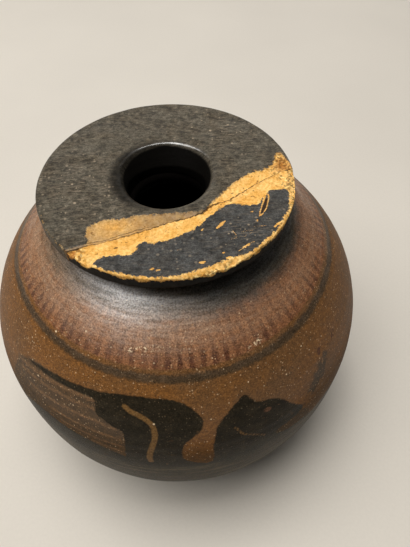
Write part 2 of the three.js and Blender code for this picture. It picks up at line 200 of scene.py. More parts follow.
FEATHER_ZONE = [
    (-57, 17.4), (-57, 19.4), (-55.5, 21.0), (-50, 23.4), (-45, 24.2), (-40, 24.7), (-35, 25), (-26, 25),
    (-17, 18), (-17, 4.5), (-25, 6.8), (-40, 10.4), (-46, 7.5), (-54, 2), (-62, -2), (-60, 9),
]
THROAT_ZONE = [(22, -2), (23, 8), (28, 8), (32, 8.4), (35, 7), (37, 3), (38, -2)]
FEATHER_LINES = [
    [(-26, 23.3), (-35, 22.8), (-43, 22.0), (-50, 20.9), (-56, 19.6)],
    [(-26, 20.9), (-34, 20.6), (-42, 19.9), (-49, 18.8), (-54, 18.0)],
    [(-20, 16.6), (-28, 17.5), (-36, 17.0), (-44, 15.9), (-50, 15.4)],
    [(-18.5, 12.9), (-26, 13.6), (-34, 13.6), (-41, 13.0)],
    [(-18.5, 9.9), (-25, 10.7), (-32, 10.9), (-37, 10.7)],
    [(-18.5, 7.4), (-23, 8.2), (-27, 8.4)],
]
WING_STRIPE = [
    (-17.5, 24), (-15.8, 22.9), (-12.8, 22), (-10.2, 20.5), (-9.2, 18), (-9.3, 15), (-10.2, 12),
    (-10.9, 9), (-11.3, 6.5), (-10.9, 4.3),
]
JAW_LINE = [(12, 16), (13, 14.5), (14, 12.5), (16, 11), (19, 9), (20.5, 7.5)]
WING_SEAM = [(-6.5, 10.2), (-5.2, 8.6), (-3.6, 8.2)]
# Red dabs: place, half sizes in millimetres, turn in degrees
EYE = [(22, 17.4, 1.25, 0.8, -20)]
DABS = [(43.5, 22.4, 0.75, 1.25, -20), (51, 21.9, 0.8, 0.7, 0), (52.3, 22.8, 0.5, 0.5, 0)]
# Blossoms between the figures: place, size in millimetres, number of lobes
BLOSSOMS = [
    (38.3, 13.4, 2.3, 4), (40.5, 15.3, 3.1, 5), (42.8, 17.2, 2.8, 4), (45.2, 19.6, 1.8, 3), (104, 17, 3.4, 6),
    (148, 14, 3.0, 5), (-150, 17, 3.3, 6), (-108, 15, 3.1, 5),
]

# Single bright grains of lime: degrees round, millimetres above the equator, radius in millimetres
LIME_GRAINS = [
    (-45, 33, 0.35), (-34.3, 36, 0.3), (-46.5, 20.5, 0.32), (-9.4, 20.2, 0.36), (18, 27, 0.22), (5.9, 20.5, 0.26),
    (30, 24, 0.28), (38, 27.5, 0.26), (95, 20, 0.4),
    (160, 25, 0.35), (-130, 22, 0.4), (-85, 18, 0.35),
]

# Scuffs of the shoulder, each a line of degrees round and millimetres above the equator
SHOULDER_SCUFFS = [[(-19, 35.4), (-13, 35.9), (-8, 36.1)], [(21, 33.2), (26.5, 34.0)]]

# Height bands of the painting, in millimetres above the equator
LOWER_GLAZE_TOP = 0.6
GROUND_TOP = 3.2
RING_LOW = 29.95
RING_HIGH = 31.65
TONGUE_LOW = 32.6
TONGUE_HIGH = 40.2
TONGUES = 96
# The painted bands rise towards the sides
BAND_RISE = 1.3
BAND_RISE_REACH = 40
# One degree round the globe and one millimetre of height, as measured over the clay
ARC_PER_DEGREE = 0.93
SLANT = 1.1


# Measuring helpers, all on arrays of points

def smooth(value, low, high):
    """A smooth step from 0 at low to 1 at high."""
    share = np.clip((value - low) / (high - low), 0, 1)
    return share * share * (3 - 2 * share)


def rounded(outline, times=2, closed=True):
    """An outline with its corners cut off again and again, so that it runs like a brush stroke."""
    line = np.array(outline, float)
    for _ in range(times):
        after = np.roll(line, -1, axis=0)
        cut = np.stack([0.75 * line + 0.25 * after, 0.25 * line + 0.75 * after], axis=1).reshape(-1, 2)
        line = cut if closed else np.vstack([line[:1], cut[1:-3], line[-1:]])
    return line


def distance_to(points, line, closed):
    """How far each point lies from a line of corners."""
    line = np.array(line, float)
    starts = line if closed else line[:-1]
    ends = np.roll(line, -1, axis=0) if closed else line[1:]
    best = np.full(len(points), np.inf)
    for start, end in zip(starts, ends):
        run = end - start
        share = np.clip(((points - start) @ run) / max(run @ run, 1e-12), 0, 1)
        away = points - start - share[:, None] * run
        best = np.minimum(best, np.hypot(away[:, 0], away[:, 1]))
    return best


def depth_inside(points, outline):
    """How deep each point lies inside an outline, negative outside it."""
    outline = np.array(outline, float)
    inside = np.zeros(len(points), bool)
    for start, end in zip(outline, np.roll(outline, -1, axis=0)):
        crosses = (start[1] > points[:, 1]) != (end[1] > points[:, 1])
        rise = end[1] - start[1] if end[1] != start[1] else 1
        across = start[0] + (points[:, 1] - start[1]) * (end[0] - start[0]) / rise
        inside ^= crosses & (points[:, 0] < across)
    return np.where(inside, 1, -1) * distance_to(points, outline, True)


def depth_in_spots(points, spots):
    """How deep each point lies inside the nearest of some oval spots."""
    best = np.full(len(points), -np.inf)
    for x, y, half_long, half_short, turn in spots:
        angle = math.radians(turn)
        away = points - np.array([x, y])
        along = away[:, 0] * math.cos(angle) + away[:, 1] * math.sin(angle)
        aside = away[:, 1] * math.cos(angle) - away[:, 0] * math.sin(angle)
        reach = np.hypot(along / half_long, aside / half_short)
        best = np.maximum(best, (1 - reach) * half_short)
    return best


def ripple(points, size, seed):
    """Smooth uneven height, mostly between -1 and 1, that changes over about the given size."""
    waves = 14
    chance = np.random.default_rng(seed)
    total = np.zeros(len(points))
    for _ in range(waves):
        way = chance.normal(size=points.shape[1])
        way *= chance.uniform(0.6, 1.5) * math.pi / (size * np.linalg.norm(way))
        total += np.sin(points @ way + chance.uniform(0, 2 * math.pi))
    return total / math.sqrt(waves)


# The flask's form

class Form:
    """The flask's sizes in millimetres, with the heights that follow from them."""

    crown_power = 2.07
    belly_power = 2.5
    shoulder_share = 0.5
    foot_share = 0.82
    waist_share = 0.14
    flare_share = 0.25
    flare_power = 4

    def __init__(self, sizes):
        for name in FlaskSizes.__annotations__:
            value = getattr(sizes, name)
            setattr(self, name, value if isinstance(value, int) else value / MM)
        self.equator = self.belly_depth * self.fullness(self.rest_radius / self.globe_radius, self.belly_power)
        self.shoulder_radius = self.globe_radius * self.shoulder_share
        self.seat_radius = self.neck_radius + abs(self.mouth_shift)
        self.seat = self.equator + self.crown(self.seat_radius)
        self.foot = self.seat + self.seat_gap
        self.disc_top = self.foot + self.neck_height + self.root_thickness
        self.rim_underside = self.disc_top - self.rim_thickness
        self.root_underside = self.disc_top - self.root_thickness
        self.lip_radius = self.bore_radius + self.lip_width
        slip_room = self.seat_gap + self.slip_thickness + self.seat_gap
        self.strap_level = self.rim_underside - slip_room - self.strap_thickness / 2
        self.foot_reach = self.globe_radius * self.foot_share

    @staticmethod
    def fullness(share, power):
        return (1 - share ** power) ** (1 / power)

    def crown(self, radius, wall=0):
        """Height of the crown over the equator at a radius, inside the wall if one is given."""
        share = np.minimum(np.asarray(radius, float) / (self.globe_radius - wall), 1)
        dip = self.shoulder_dip * (1 - smooth(radius, self.neck_radius, self.shoulder_radius))
        return (self.crown_height - wall) * self.fullness(share, self.crown_power) - dip

    def globe_profile(self):
        """Points up the outside, down the throat and round the hollow, and how many are outside."""
        belly = self.curve(self.rest_radius, 0, self.belly_power, self.belly_depth, 72)[::-1] * [1, -1]
        radii = self.curve(self.seat_radius, 0, self.crown_power, self.crown_height, 82)[1:, 0]
        crown = np.stack([radii, self.crown(radii)], axis=1)
        rest = np.stack([np.linspace(0, self.rest_radius, 8)[:-1], np.full(7, -self.equator)], axis=1)
        floor = self.floor_thickness - self.equator
        depth = self.belly_depth - self.wall
        floor_radius = (self.globe_radius - self.wall) * self.fullness(-floor / depth, self.belly_power)
        throat = self.curve(self.bore_radius, self.wall, self.crown_power, self.crown_height, 12)[::-1, 0]
        under = np.stack([throat, self.crown(throat, self.wall)], axis=1)
        bowl = self.curve(floor_radius, self.wall, self.belly_power, self.belly_depth, 12)[1:] * [1, -1]
        seat = self.seat - self.equator
        mouth = [[self.bore_radius + 1.6, seat], [self.bore_radius, seat - 0.4]]
        outside = np.vstack([rest, belly, crown])
        inside = np.vstack([mouth, under, bowl, [[floor_radius / 2, floor], [0, floor]]])
        return np.vstack([outside, inside]), len(outside)

    def curve(self, to_radius, wall, power, height, steps):
        """Full curve from the equator to a radius, evenly stepped by angle, heights counted upwards."""
        reach = self.globe_radius - wall
        last = math.acos((to_radius / reach) ** (power / 2))
        angles = np.linspace(0, last, steps + 1)
        return np.stack([
            reach * np.cos(angles) ** (2 / power),
            (height - wall) * np.sin(angles) ** (2 / power)], axis=1)

    def break_radius(self, angles):
        """How far the break lies from the disc's axis at each angle round it, in radians."""
        line = np.array(BREAK_SHARES) * self.disc_radius
        found = np.full(len(angles), np.inf)
        way = np.stack([np.cos(angles), np.sin(angles)], axis=1)
        for start, end in zip(line[:-1], line[1:]):
            run = end - start
            turn = way[:, 0] * run[1] - way[:, 1] * run[0]
            turn = np.where(abs(turn) < 1e-9, 1e-9, turn)
            far = (start[0] * run[1] - start[1] * run[0]) / turn
            share = (start[0] * way[:, 1] - start[1] * way[:, 0]) / turn
            here = (far > 0) & (share >= 0) & (share <= 1)
            found = np.where(here, np.minimum(found, far), found)
        arc = angles * self.disc_radius
        jag = 0.1 * np.sin(arc * 1.9) + 0.07 * np.sin(arc * 4.3 + 1) + 0.05 * np.sin(arc * 9.1 + 2)
        return found + jag


# Mesh helpers

def new_piece(name, points, faces):
    """A mesh object at the origin from points in millimetres, with its faces turned outwards."""
    mesh = bpy.data.meshes.new(name)
    mesh.from_pydata((np.asarray(points) * MM).tolist(), [], [tuple(face) for face in faces])
    mesh.update()
    turn_outwards(mesh)
    mesh.shade_smooth()
    piece = bpy.data.objects.new(name, mesh)
    bpy.context.scene.collection.objects.link(piece)
    return piece


def turn_outwards(mesh):
    """Flips a closed mesh whose faces point inwards."""
    mesh.calc_loop_triangles()
    places = np.zeros(len(mesh.vertices) * 3)
    mesh.vertices.foreach_get("co", places)
    places = places.reshape(-1, 3)
    corners = np.zeros(len(mesh.loop_triangles) * 3, int)
    mesh.loop_triangles.foreach_get("vertices", corners)
    a, b, c = places[corners.reshape(-1, 3)].transpose(1, 0, 2)
    if np.einsum("ij,ij->i", a, np.cross(b, c)).sum() < 0:
        mesh.flip_normals()


def places_of(piece):
    """The points of a piece in millimetres."""
    places = np.zeros(len(piece.data.vertices) * 3)
    piece.data.vertices.foreach_get("co", places)
    return places.reshape(-1, 3) / MM


def place_points(piece, points):
    """Moves the points of a piece, given in millimetres."""
    piece.data.vertices.foreach_set("co", (points * MM).ravel())
    piece.data.update()


def set_values(piece, name, values):
    """Keeps a number for each point of a piece."""
    kept = piece.data.attributes.new(name, "FLOAT", "POINT")
    kept.data.foreach_set("value", np.asarray(values, np.float32))


def ring_faces(rows, columns, close_rows, close_columns):
    """Quads over a grid of points that is stored row by row."""
    last_row = rows if close_rows else rows - 1
    last_column = columns if close_columns else columns - 1
    row, column = np.meshgrid(np.arange(last_row), np.arange(last_column), indexing="ij")
    below = row * columns
    above = (row + 1) % rows * columns
    beside = (column + 1) % columns
    quads = np.stack([below + column, below + beside, above + beside, above + column], axis=-1)
    return quads.reshape(-1, 4).tolist()


def finish_piece(piece, slot, *nodes):
    """Sets a piece on the flask's body, in place of CAD nodes where some are named."""
    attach(piece, "root")
    if nodes:
        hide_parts(*nodes)


# Node helpers

class Wires:
    """Adds nodes to a tree and joins them up."""

    def __init__(self, tree):
        self.tree = tree
        self.count = 0

    def add(self, kind, inputs=None, **settings):
        """A node with its settings, and its inputs by name or number."""
        node = self.tree.nodes.new(kind)
        node.location = (220 * (self.count % 12), -260 * (self.count // 12))
        self.count += 1
        for name, value in settings.items():
            setattr(node, name, value)
        for key, value in (inputs or {}).items():
            self.join(value, node.inputs[key])
        return node

    def join(self, value, socket):
        """Links a socket, or sets a plain value."""
        if isinstance(value, bpy.types.NodeSocket):
            self.tree.links.new(value, socket)
        elif socket.type == "RGBA":
            socket.default_value = (*list(value)[:3], 1)
        else:
            socket.default_value = value

    def math(self, operation, first, second=0.0, clamp=False):
        node = self.add("ShaderNodeMath", {0: first, 1: second}, operation=operation, use_clamp=clamp)
        return node.outputs[0]

    def step(self, value, low, high):
        """Smooth step of a value from 0 at low to 1 at high."""
        node = self.add("ShaderNodeMapRange", {0: value, 1: low, 2: high}, interpolation_type="SMOOTHSTEP")
        return node.outputs[0]

    def spread(self, value, low, high, to_low, to_high):
        """Straight map of a value from one range to another."""
        node = self.add("ShaderNodeMapRange", {0: value, 1: low, 2: high, 3: to_low, 4: to_high})
        return node.outputs[0]

    def mix(self, share, first, second, blend="MIX"):
        node = self.add(
            "ShaderNodeMix", {0: share, 6: first, 7: second}, data_type="RGBA", blend_type=blend)
        return node.outputs[2]

    def noise(self, vector, scale, detail=3.0, roughness=0.55, distortion=0.0):
        inputs = {"Vector": vector, "Scale": scale, "Detail": detail, "Roughness": roughness,
                  "Distortion": distortion}
        return self.add("ShaderNodeTexNoise", inputs).outputs[0]

    def cells(self, vector, scale, feature="F1"):
        return self.add("ShaderNodeTexVoronoi", {"Vector": vector, "Scale": scale}, feature=feature)

    def value_of(self, name):
        """A number kept on the points of the piece."""
        return self.add("ShaderNodeAttribute", attribute_name=name).outputs[2]

    def objects_own(self):
        """Place in the object's own frame, in metres."""
        return self.add("ShaderNodeTexCoord").outputs["Object"]


def new_group(name, inputs, outputs):
    """An empty shader group with named sockets, and the wires, inlet and outlet to fill it with."""
    tree = bpy.data.node_groups.new(name, "ShaderNodeTree")
    for label, kind, default in inputs:
        socket = tree.interface.new_socket(label, in_out="INPUT", socket_type=kind)
        if default is not None:
            socket.default_value = default
    for label, kind in outputs:
        tree.interface.new_socket(label, in_out="OUTPUT", socket_type=kind)
    wires = Wires(tree)
    inlet = wires.add("NodeGroupInput")
    outlet = wires.add("NodeGroupOutput")
    return tree, wires, inlet, outlet


def group_named(name, build):
    """A shader group that is built once and used by several finishes."""
    found = bpy.data.node_groups.get(name)
    return found if found else build(name)


def use_group(wires, tree, inputs):
    node = wires.add("ShaderNodeGroup", node_tree=tree)
    for label, value in inputs.items():
        wires.join(value, node.inputs[label])
    return node


VECTOR = "NodeSocketVector"
FLOAT = "NodeSocketFloat"
COLOUR = "NodeSocketColor"


def clay_grain(name):
    """Sandy grain of burnished clay: fine and coarse unevenness and a height."""
    tree, wires, inlet, outlet = new_group(
        name,
        [("Place", VECTOR, None), ("Fine scale", FLOAT, 2600.0), ("Coarse scale", FLOAT, 240.0)],
        [("Fine", FLOAT), ("Coarse", FLOAT), ("Height", FLOAT)])
    fine = wires.noise(inlet.outputs["Place"], inlet.outputs["Fine scale"], 2.0, 0.6)
    coarse = wires.noise(inlet.outputs["Place"], inlet.outputs["Coarse scale"], 5.0, 0.62)
    half = wires.math("MULTIPLY", coarse, 0.4)
    wires.join(fine, outlet.inputs["Fine"])
    wires.join(coarse, outlet.inputs["Coarse"])
    wires.join(wires.math("ADD", fine, half), outlet.inputs["Height"])
    return tree


def ragged_edge(name):
    """Turns a distance in millimetres inside an outline into a mask with an uneven edge."""
    tree, wires, inlet, outlet = new_group(
        name,
        [("Place", VECTOR, None), ("Depth", FLOAT, 0.0), ("Raggedness", FLOAT, 0.4), ("Softness", FLOAT, 0.2),
         ("Scale", FLOAT, 900.0)],
        [("Mask", FLOAT)])
    uneven = wires.noise(inlet.outputs["Place"], inlet.outputs["Scale"], 4.0, 0.65)
    offset = wires.math("MULTIPLY", wires.math("SUBTRACT", uneven, 0.5), inlet.outputs["Raggedness"])
    moved = wires.math("MULTIPLY_ADD", offset, 2.0)
    wires.join(inlet.outputs["Depth"], moved.node.inputs[2])
    low = wires.math("MULTIPLY", inlet.outputs["Softness"], -1.0)
    wires.join(wires.step(moved, low, inlet.outputs["Softness"]), outlet.inputs["Mask"])
    return tree


def bright_flecks(name):
    """Scattered bright specks of mica and lime: a mask, thinned out by a share."""
    tree, wires, inlet, outlet = new_group(
        name,
        [("Place", VECTOR, None), ("Scale", FLOAT, 700.0), ("Share", FLOAT, 0.2), ("Size", FLOAT, 0.25)],
        [("Mask", FLOAT), ("Chance", FLOAT)])
    cells = wires.cells(inlet.outputs["Place"], inlet.outputs["Scale"])
    parted = wires.add("ShaderNodeSeparateColor", {0: cells.outputs["Color"]})
    chosen = wires.math("LESS_THAN", parted.outputs[0], inlet.outputs["Share"])
    reach = wires.math("MULTIPLY", inlet.outputs["Size"], wires.spread(parted.outputs[1], 0, 1, 0.4, 1.2))
    near = wires.math("SUBTRACT", 1.0, wires.math("DIVIDE", cells.outputs["Distance"], reach), clamp=True)
    wires.join(wires.math("MULTIPLY", wires.step(near, 0.0, 0.5), chosen), outlet.inputs["Mask"])
    wires.join(parted.outputs[2], outlet.inputs["Chance"])
    return tree


def hairlines(name):
    """Fine scratches that run two ways over a brushed face: a mask."""
    tree, wires, inlet, outlet = new_group(
        name, [("Place", VECTOR, None), ("Scale", FLOAT, 330.0)], [("Mask", FLOAT)])
    masks = []
    for turn in (0.62, -0.75):
        drawn = wires.add("ShaderNodeMapping", {0: inlet.outputs["Place"]})
        drawn.inputs["Rotation"].default_value = (0, 0, turn)
        drawn.inputs["Scale"].default_value = (1.0, 8.0, 1.0)
        masks.append(wires.step(wires.noise(drawn.outputs[0], inlet.outputs["Scale"], 2.0, 0.5), 0.58, 0.70))
    wires.join(wires.math("MAXIMUM", masks[0], masks[1]), outlet.inputs["Mask"])
    return tree


def bared_paste(name):
    """Golden clay where slip has flaked off: colour and height, with pits, crumbs and stains."""
    tree, wires, inlet, outlet = new_group(
        name,
        [("Place", VECTOR, None), ("Golden", COLOUR, (0.7, 0.42, 0.14, 1)), ("Dull", COLOUR, (0.3, 0.19, 0.085, 1)),
         ("Rust", COLOUR, (0.4, 0.15, 0.03, 1)), ("Brightness", FLOAT, 1.0), ("Stain", FLOAT, 0.0),
         ("Crumble", FLOAT, 0.0)],
        [("Color", COLOUR), ("Height", FLOAT)])
    place = inlet.outputs["Place"]
    crumble = inlet.outputs["Crumble"]
    grain = wires.noise(place, 1500.0, 4.0, 0.7)
    cloud = wires.noise(place, 260.0, 4.0, 0.6)
    pits = wires.step(wires.noise(place, 900.0, 2.0, 0.5), 0.36, 0.27)
    crumbs = wires.cells(place, 1900.0)
    chance = wires.add("ShaderNodeSeparateColor", {0: crumbs.outputs["Color"]})
    uneven = wires.mix(wires.step(cloud, 0.38, 0.62), (0.80, 0.42, 0.10), inlet.outputs["Golden"])
    pale = wires.mix(wires.math("MULTIPLY", crumble, wires.step(chance.outputs[0], 0.6, 0.8)), uneven,
                     (0.98, 0.70, 0.27))
    golden = wires.mix(inlet.outputs["Brightness"], inlet.outputs["Dull"], pale)
    rusted = wires.mix(wires.math("MULTIPLY", inlet.outputs["Stain"], wires.step(cloud, 0.36, 0.58)), golden,
                       inlet.outputs["Rust"])
    grained = wires.mix(1.0, rusted, wires.add(
        "ShaderNodeCombineColor", {0: wires.spread(grain, 0.36, 0.64, 0.80, 1.16),
                                   1: wires.spread(grain, 0.36, 0.64, 0.72, 1.22),
                                   2: wires.spread(grain, 0.36, 0.64, 0.55, 1.40)}).outputs[0], "MULTIPLY")
    # The hollows between crumbs are darkened as painted shade, and pits are darker too.
    shaded_hollows = wires.math("MULTIPLY", crumble, wires.step(chance.outputs[1], 0.62, 0.8))
    dark = wires.math("MAXIMUM", wires.math("MULTIPLY", pits, 0.75), wires.math("MULTIPLY", shaded_hollows, 0.72))
    pitted = wires.mix(dark, grained, (0.15, 0.062, 0.014))
    wires.join(pitted, outlet.inputs["Color"])
    dome = wires.math("SUBTRACT", 1.0, wires.math("MULTIPLY", crumbs.outputs["Distance"], 1.3), clamp=True)
    lumps = wires.math("MULTIPLY", wires.math("MULTIPLY", crumble, chance.outputs[2]), dome)
    sunk = wires.math("SUBTRACT", grain, wires.math("MULTIPLY", pits, 0.8))
    wires.join(wires.math("ADD", sunk, lumps), outlet.inputs["Height"])
    return tree


def new_finish(name):
    """An empty material with its principled shader, ready to be wired."""
    material = bpy.data.materials.new(name)
    material.use_nodes = True
    material.node_tree.nodes.clear()
    wires = Wires(material.node_tree)
    shader = wires.add("ShaderNodeBsdfPrincipled")
    surface = wires.add("ShaderNodeOutputMaterial")
    wires.join(shader.outputs[0], surface.inputs["Surface"])
    return material, wires, shader


def set_bump(wires, shader, height, strength, distance):
    """Feeds a height into the shader's normal."""
    bump = wires.add("ShaderNodeBump", {"Strength": strength, "Distance": distance, "Height": height})
    wires.join(bump.outputs[0], shader.inputs["Normal"])


# Finishes

def painted_clay(colours, form):
    """The globe's finish: glaze below, frieze with figures, ring, tongues, and a dark neck band."""
    material, wires, shader = new_finish("Painted clay")
    place = wires.objects_own()
    parted = wires.add("ShaderNodeSeparateXYZ", {0: place})
    height = wires.math("SUBTRACT", wires.math("MULTIPLY", parted.outputs[2], 1 / MM), form.equator)
    across = wires.math("MULTIPLY", parted.outputs[0], 1 / (MM * BAND_RISE_REACH))
    rise = wires.math("MULTIPLY", wires.math("MULTIPLY", across, across, True), BAND_RISE)
    level = wires.math("SUBTRACT", height, rise)
    grain = use_group(wires, group_named("Clay grain", clay_grain), {"Place": place})
    edge = group_named("Ragged edge", ragged_edge)
    fine = grain.outputs["Fine"]
    coarse = grain.outputs["Coarse"]

    def painted(depth, raggedness, softness, scale=900.0):
        inputs = {"Place": place, "Depth": depth, "Raggedness": raggedness, "Softness": softness, "Scale": scale}
        return use_group(wires, edge, inputs).outputs[0]

    # Ground of the frieze, browner and greener in clouds
    cloud = wires.noise(place, 45.0, 4.0, 0.6)
    ground = wires.mix(wires.step(cloud, 0.35, 0.68), (0.148, 0.070, 0.024), colours.clay)
    ground = wires.mix(wires.math("MULTIPLY", wires.step(wires.noise(place, 120.0, 3.0), 0.5, 0.72), 0.5),
                       ground, (0.225, 0.090, 0.018))

    # Darker towards the bottom of the frieze: painted shade.
    shaded = wires.step(height, 13.0, 5.0)
    ground = wires.mix(wires.math("MULTIPLY", shaded, 0.7), ground, (0.085, 0.040, 0.010))

    # Tongue band
    angle = wires.math("ARCTAN2", parted.outputs[1], parted.outputs[0])
    sway = wires.math("MULTIPLY", wires.math("SUBTRACT", wires.noise(place, 60.0, 2.0), 0.5), 0.05)
    turns = wires.math("MULTIPLY", wires.math("ADD", angle, sway), TONGUES / (2 * math.pi))
    beat = wires.math("ABSOLUTE", wires.math("SUBTRACT", wires.math("FRACT", turns), 0.5))
    tongue = wires.step(wires.math("ADD", beat, wires.math("MULTIPLY", fine, 0.2)), 0.44, 0.22)
    tip = wires.step(level, TONGUE_LOW + 4.0, TONGUE_LOW + 0.8)
    blotch = wires.spread(wires.step(wires.noise(place, 150.0, 3.0), 0.36, 0.62), 0, 1, 0.45, 1.0)
    strength = wires.math("MULTIPLY", wires.math("MULTIPLY", tongue, wires.spread(tip, 0, 1, 0.5, 0.9)), blotch)
    band = wires.mix(wires.step(coarse, 0.3, 0.7), (0.20, 0.085, 0.036), colours.clay_red)
    band = wires.mix(strength, band, colours.red)

    in_band = painted(wires.math("SUBTRACT", level, TONGUE_LOW), 0.5, 0.25)
    base = wires.mix(in_band, ground, band)

    # Feathers in thin wash with bare lines between them
    wash = wires.math("MULTIPLY", painted(wires.value_of("wash"), 0.8, 0.5), 0.86)
    streaks = wires.noise(place, 300.0, 3.0, 0.6)
    wash_colour = wires.mix(wires.step(streaks, 0.35, 0.7), colours.wash, (0.085, 0.050, 0.022))
    base = wires.mix(wash, base, wash_colour)
    feather = wires.math("MULTIPLY", painted(wires.value_of("feather"), 0.4, 0.4), 0.78)
    base = wires.mix(feather, base, (0.20, 0.102, 0.042))

    # Thick dark paint, worn thin in places
    worn = wires.step(wires.noise(place, 190.0, 5.0, 0.7), 0.62, 0.78)
    cover = wires.math("SUBTRACT", 1.0, wires.math("MULTIPLY", worn, 0.35))
    figure = wires.math("MULTIPLY", painted(wires.value_of("figure"), 0.45, 0.28), cover)
    black = wires.mix(wires.step(coarse, 0.35, 0.7), colours.black, (0.033, 0.025, 0.014))
    base = wires.mix(figure, base, black)
    stripe = wires.math("MULTIPLY", painted(wires.value_of("stripe"), 0.3, 0.22), 0.8)
    base = wires.mix(stripe, base, (0.22, 0.115, 0.038))
    blossom = wires.math("MULTIPLY", painted(wires.value_of("blossom"), 1.3, 1.0), 0.8)
    base = wires.mix(blossom, base, (0.042, 0.033, 0.021))
    dab = wires.math("MULTIPLY", painted(wires.value_of("dab"), 0.35, 0.22), 0.9)
    base = wires.mix(dab, base, colours.red)
    eye = wires.math("MULTIPLY", painted(wires.value_of("eye"), 0.3, 0.2), 0.9)
    base = wires.mix(eye, base, (0.145, 0.070, 0.038))

    # Ring, neck band and lower glaze
    ring_depth = wires.math("SUBTRACT", (RING_HIGH - RING_LOW) / 2, wires.math(
        "ABSOLUTE", wires.math("SUBTRACT", level, (RING_HIGH + RING_LOW) / 2)))
    ring = wires.math("MULTIPLY", painted(ring_depth, 0.7, 0.42), 0.86)
    base = wires.mix(ring, base, wires.mix(wires.step(coarse, 0.35, 0.7), (0.043, 0.030, 0.017), (0.078, 0.054, 0.033)))
    neck = painted(wires.math("SUBTRACT", height, TONGUE_HIGH), 1.5, 1.5, 350.0)
    lower = painted(wires.math("SUBTRACT", LOWER_GLAZE_TOP, height), 1.6, 1.8, 260.0)
    glazed = wires.math("MAXIMUM", neck, lower)
    glaze = wires.mix(wires.step(coarse, 0.3, 0.72), colours.glaze, (0.058, 0.043, 0.023))
    # Pale streaks round the lower glaze: partly wheel marks, partly painted sheen.
    turned = wires.add("ShaderNodeMapping", {0: place})
    turned.inputs["Scale"].default_value = (0.4, 0.4, 6.0)
    wheel_streak_sheen = wires.step(wires.noise(turned.outputs[0], 110.0, 4.0, 0.6), 0.50, 0.66)
    glaze = wires.mix(wires.math("MULTIPLY", wires.math("MULTIPLY", wheel_streak_sheen, lower), 0.75), glaze, (0.125, 0.096, 0.056))
    base = wires.mix(glazed, base, glaze)

    # Wear of the shoulder, brushed round, with a painted highlight on its front and left
    reach = wires.math("SQRT", wires.math("ADD", wires.math("MULTIPLY", parted.outputs[0], parted.outputs[0]),
                                          wires.math("MULTIPLY", parted.outputs[1], parted.outputs[1])))
    round_way = wires.add("ShaderNodeCombineXYZ", {
        0: wires.math("MULTIPLY", parted.outputs[0], 0.35), 1: wires.math("MULTIPLY", parted.outputs[1], 0.35),
        2: wires.math("MULTIPLY", reach, 3.0)})
    brushed = wires.spread(wires.noise(round_way.outputs[0], 420.0, 3.0, 0.6), 0.36, 0.64, 0.6, 1.3)
    # The lighter brown is partly rubbed wear and partly painted highlight that warms the gloss; it stops lower on the
    # right.
    to_right = wires.spread(wires.step(parted.outputs[0], -0.004, 0.016), 0, 1, 0.0, 5.0)
    rubbed = wires.math("MULTIPLY", wires.step(height, 33.5, 39.0),
                        wires.step(wires.math("ADD", height, to_right), 46.5, 40.5))
    rubbed = wires.math("MULTIPLY", wires.math("MULTIPLY", rubbed, brushed), 0.30)
    base = wires.mix(rubbed, base, (0.50, 0.31, 0.17))
    scuff = wires.step(wires.noise(place, 1300.0, 3.0, 0.6), 0.50, 0.60)
    scuff = wires.math("MULTIPLY", scuff, wires.step(wires.value_of("scuffed"), 0.0, 0.5))
    base = wires.mix(wires.math("MULTIPLY", scuff, 0.75), base, colours.mica)

    # Grain and mica
    dark_paint = wires.math("MAXIMUM", figure, wires.math("MAXIMUM", ring, glazed))
    tone = wires.spread(fine, 0.25, 0.75, 0.45, 1.55)
    tone = wires.math("MULTIPLY", tone, wires.spread(wires.noise(place, 1150.0, 3.0, 0.6), 0.36, 0.64, 0.80, 1.22))
    tones = wires.add("ShaderNodeCombineColor", {0: tone, 1: tone, 2: tone}).outputs[0]
    base = wires.mix(1.0, base, tones, "MULTIPLY")
    specks = use_group(wires, group_named("Bright flecks", bright_flecks),
                       {"Place": place, "Scale": 1500.0, "Share": 0.36, "Size": 0.36})
    shown = wires.math("MULTIPLY", specks.outputs["Mask"],
                       wires.spread(dark_paint, 0, 1, 0.6, 0.12))
    sparkle = use_group(wires, group_named("Bright flecks", bright_flecks),
                        {"Place": place, "Scale": 2600.0, "Share": 0.3, "Size": 0.4})
    lit = wires.math("MULTIPLY", sparkle.outputs["Mask"], wires.spread(in_band, 0, 1, 0.34, 0.58))
    lit = wires.math("MULTIPLY", lit, wires.spread(dark_paint, 0, 1, 1.0, 0.15))
    base = wires.mix(lit, base, (0.50, 0.25, 0.10))
    base = wires.mix(shown, base, wires.mix(specks.outputs["Chance"], (0.50, 0.25, 0.09), colours.mica))

    for bearing, grain_height, radius in LIME_GRAINS:
        turn = math.radians(bearing)
        share = form.fullness(max(grain_height, 0) / form.crown_height, form.crown_power)
        reach_out = form.globe_radius * share
        spot = (reach_out * math.sin(turn), -reach_out * math.cos(turn), form.equator + grain_height)
        away = wires.add("ShaderNodeVectorMath", {0: place, 1: tuple(Vector(spot) * MM)}, operation="DISTANCE")
        shown = wires.step(away.outputs["Value"], radius * 1.1 * MM, radius * 0.5 * MM)
        base = wires.mix(shown, base, colours.mica)
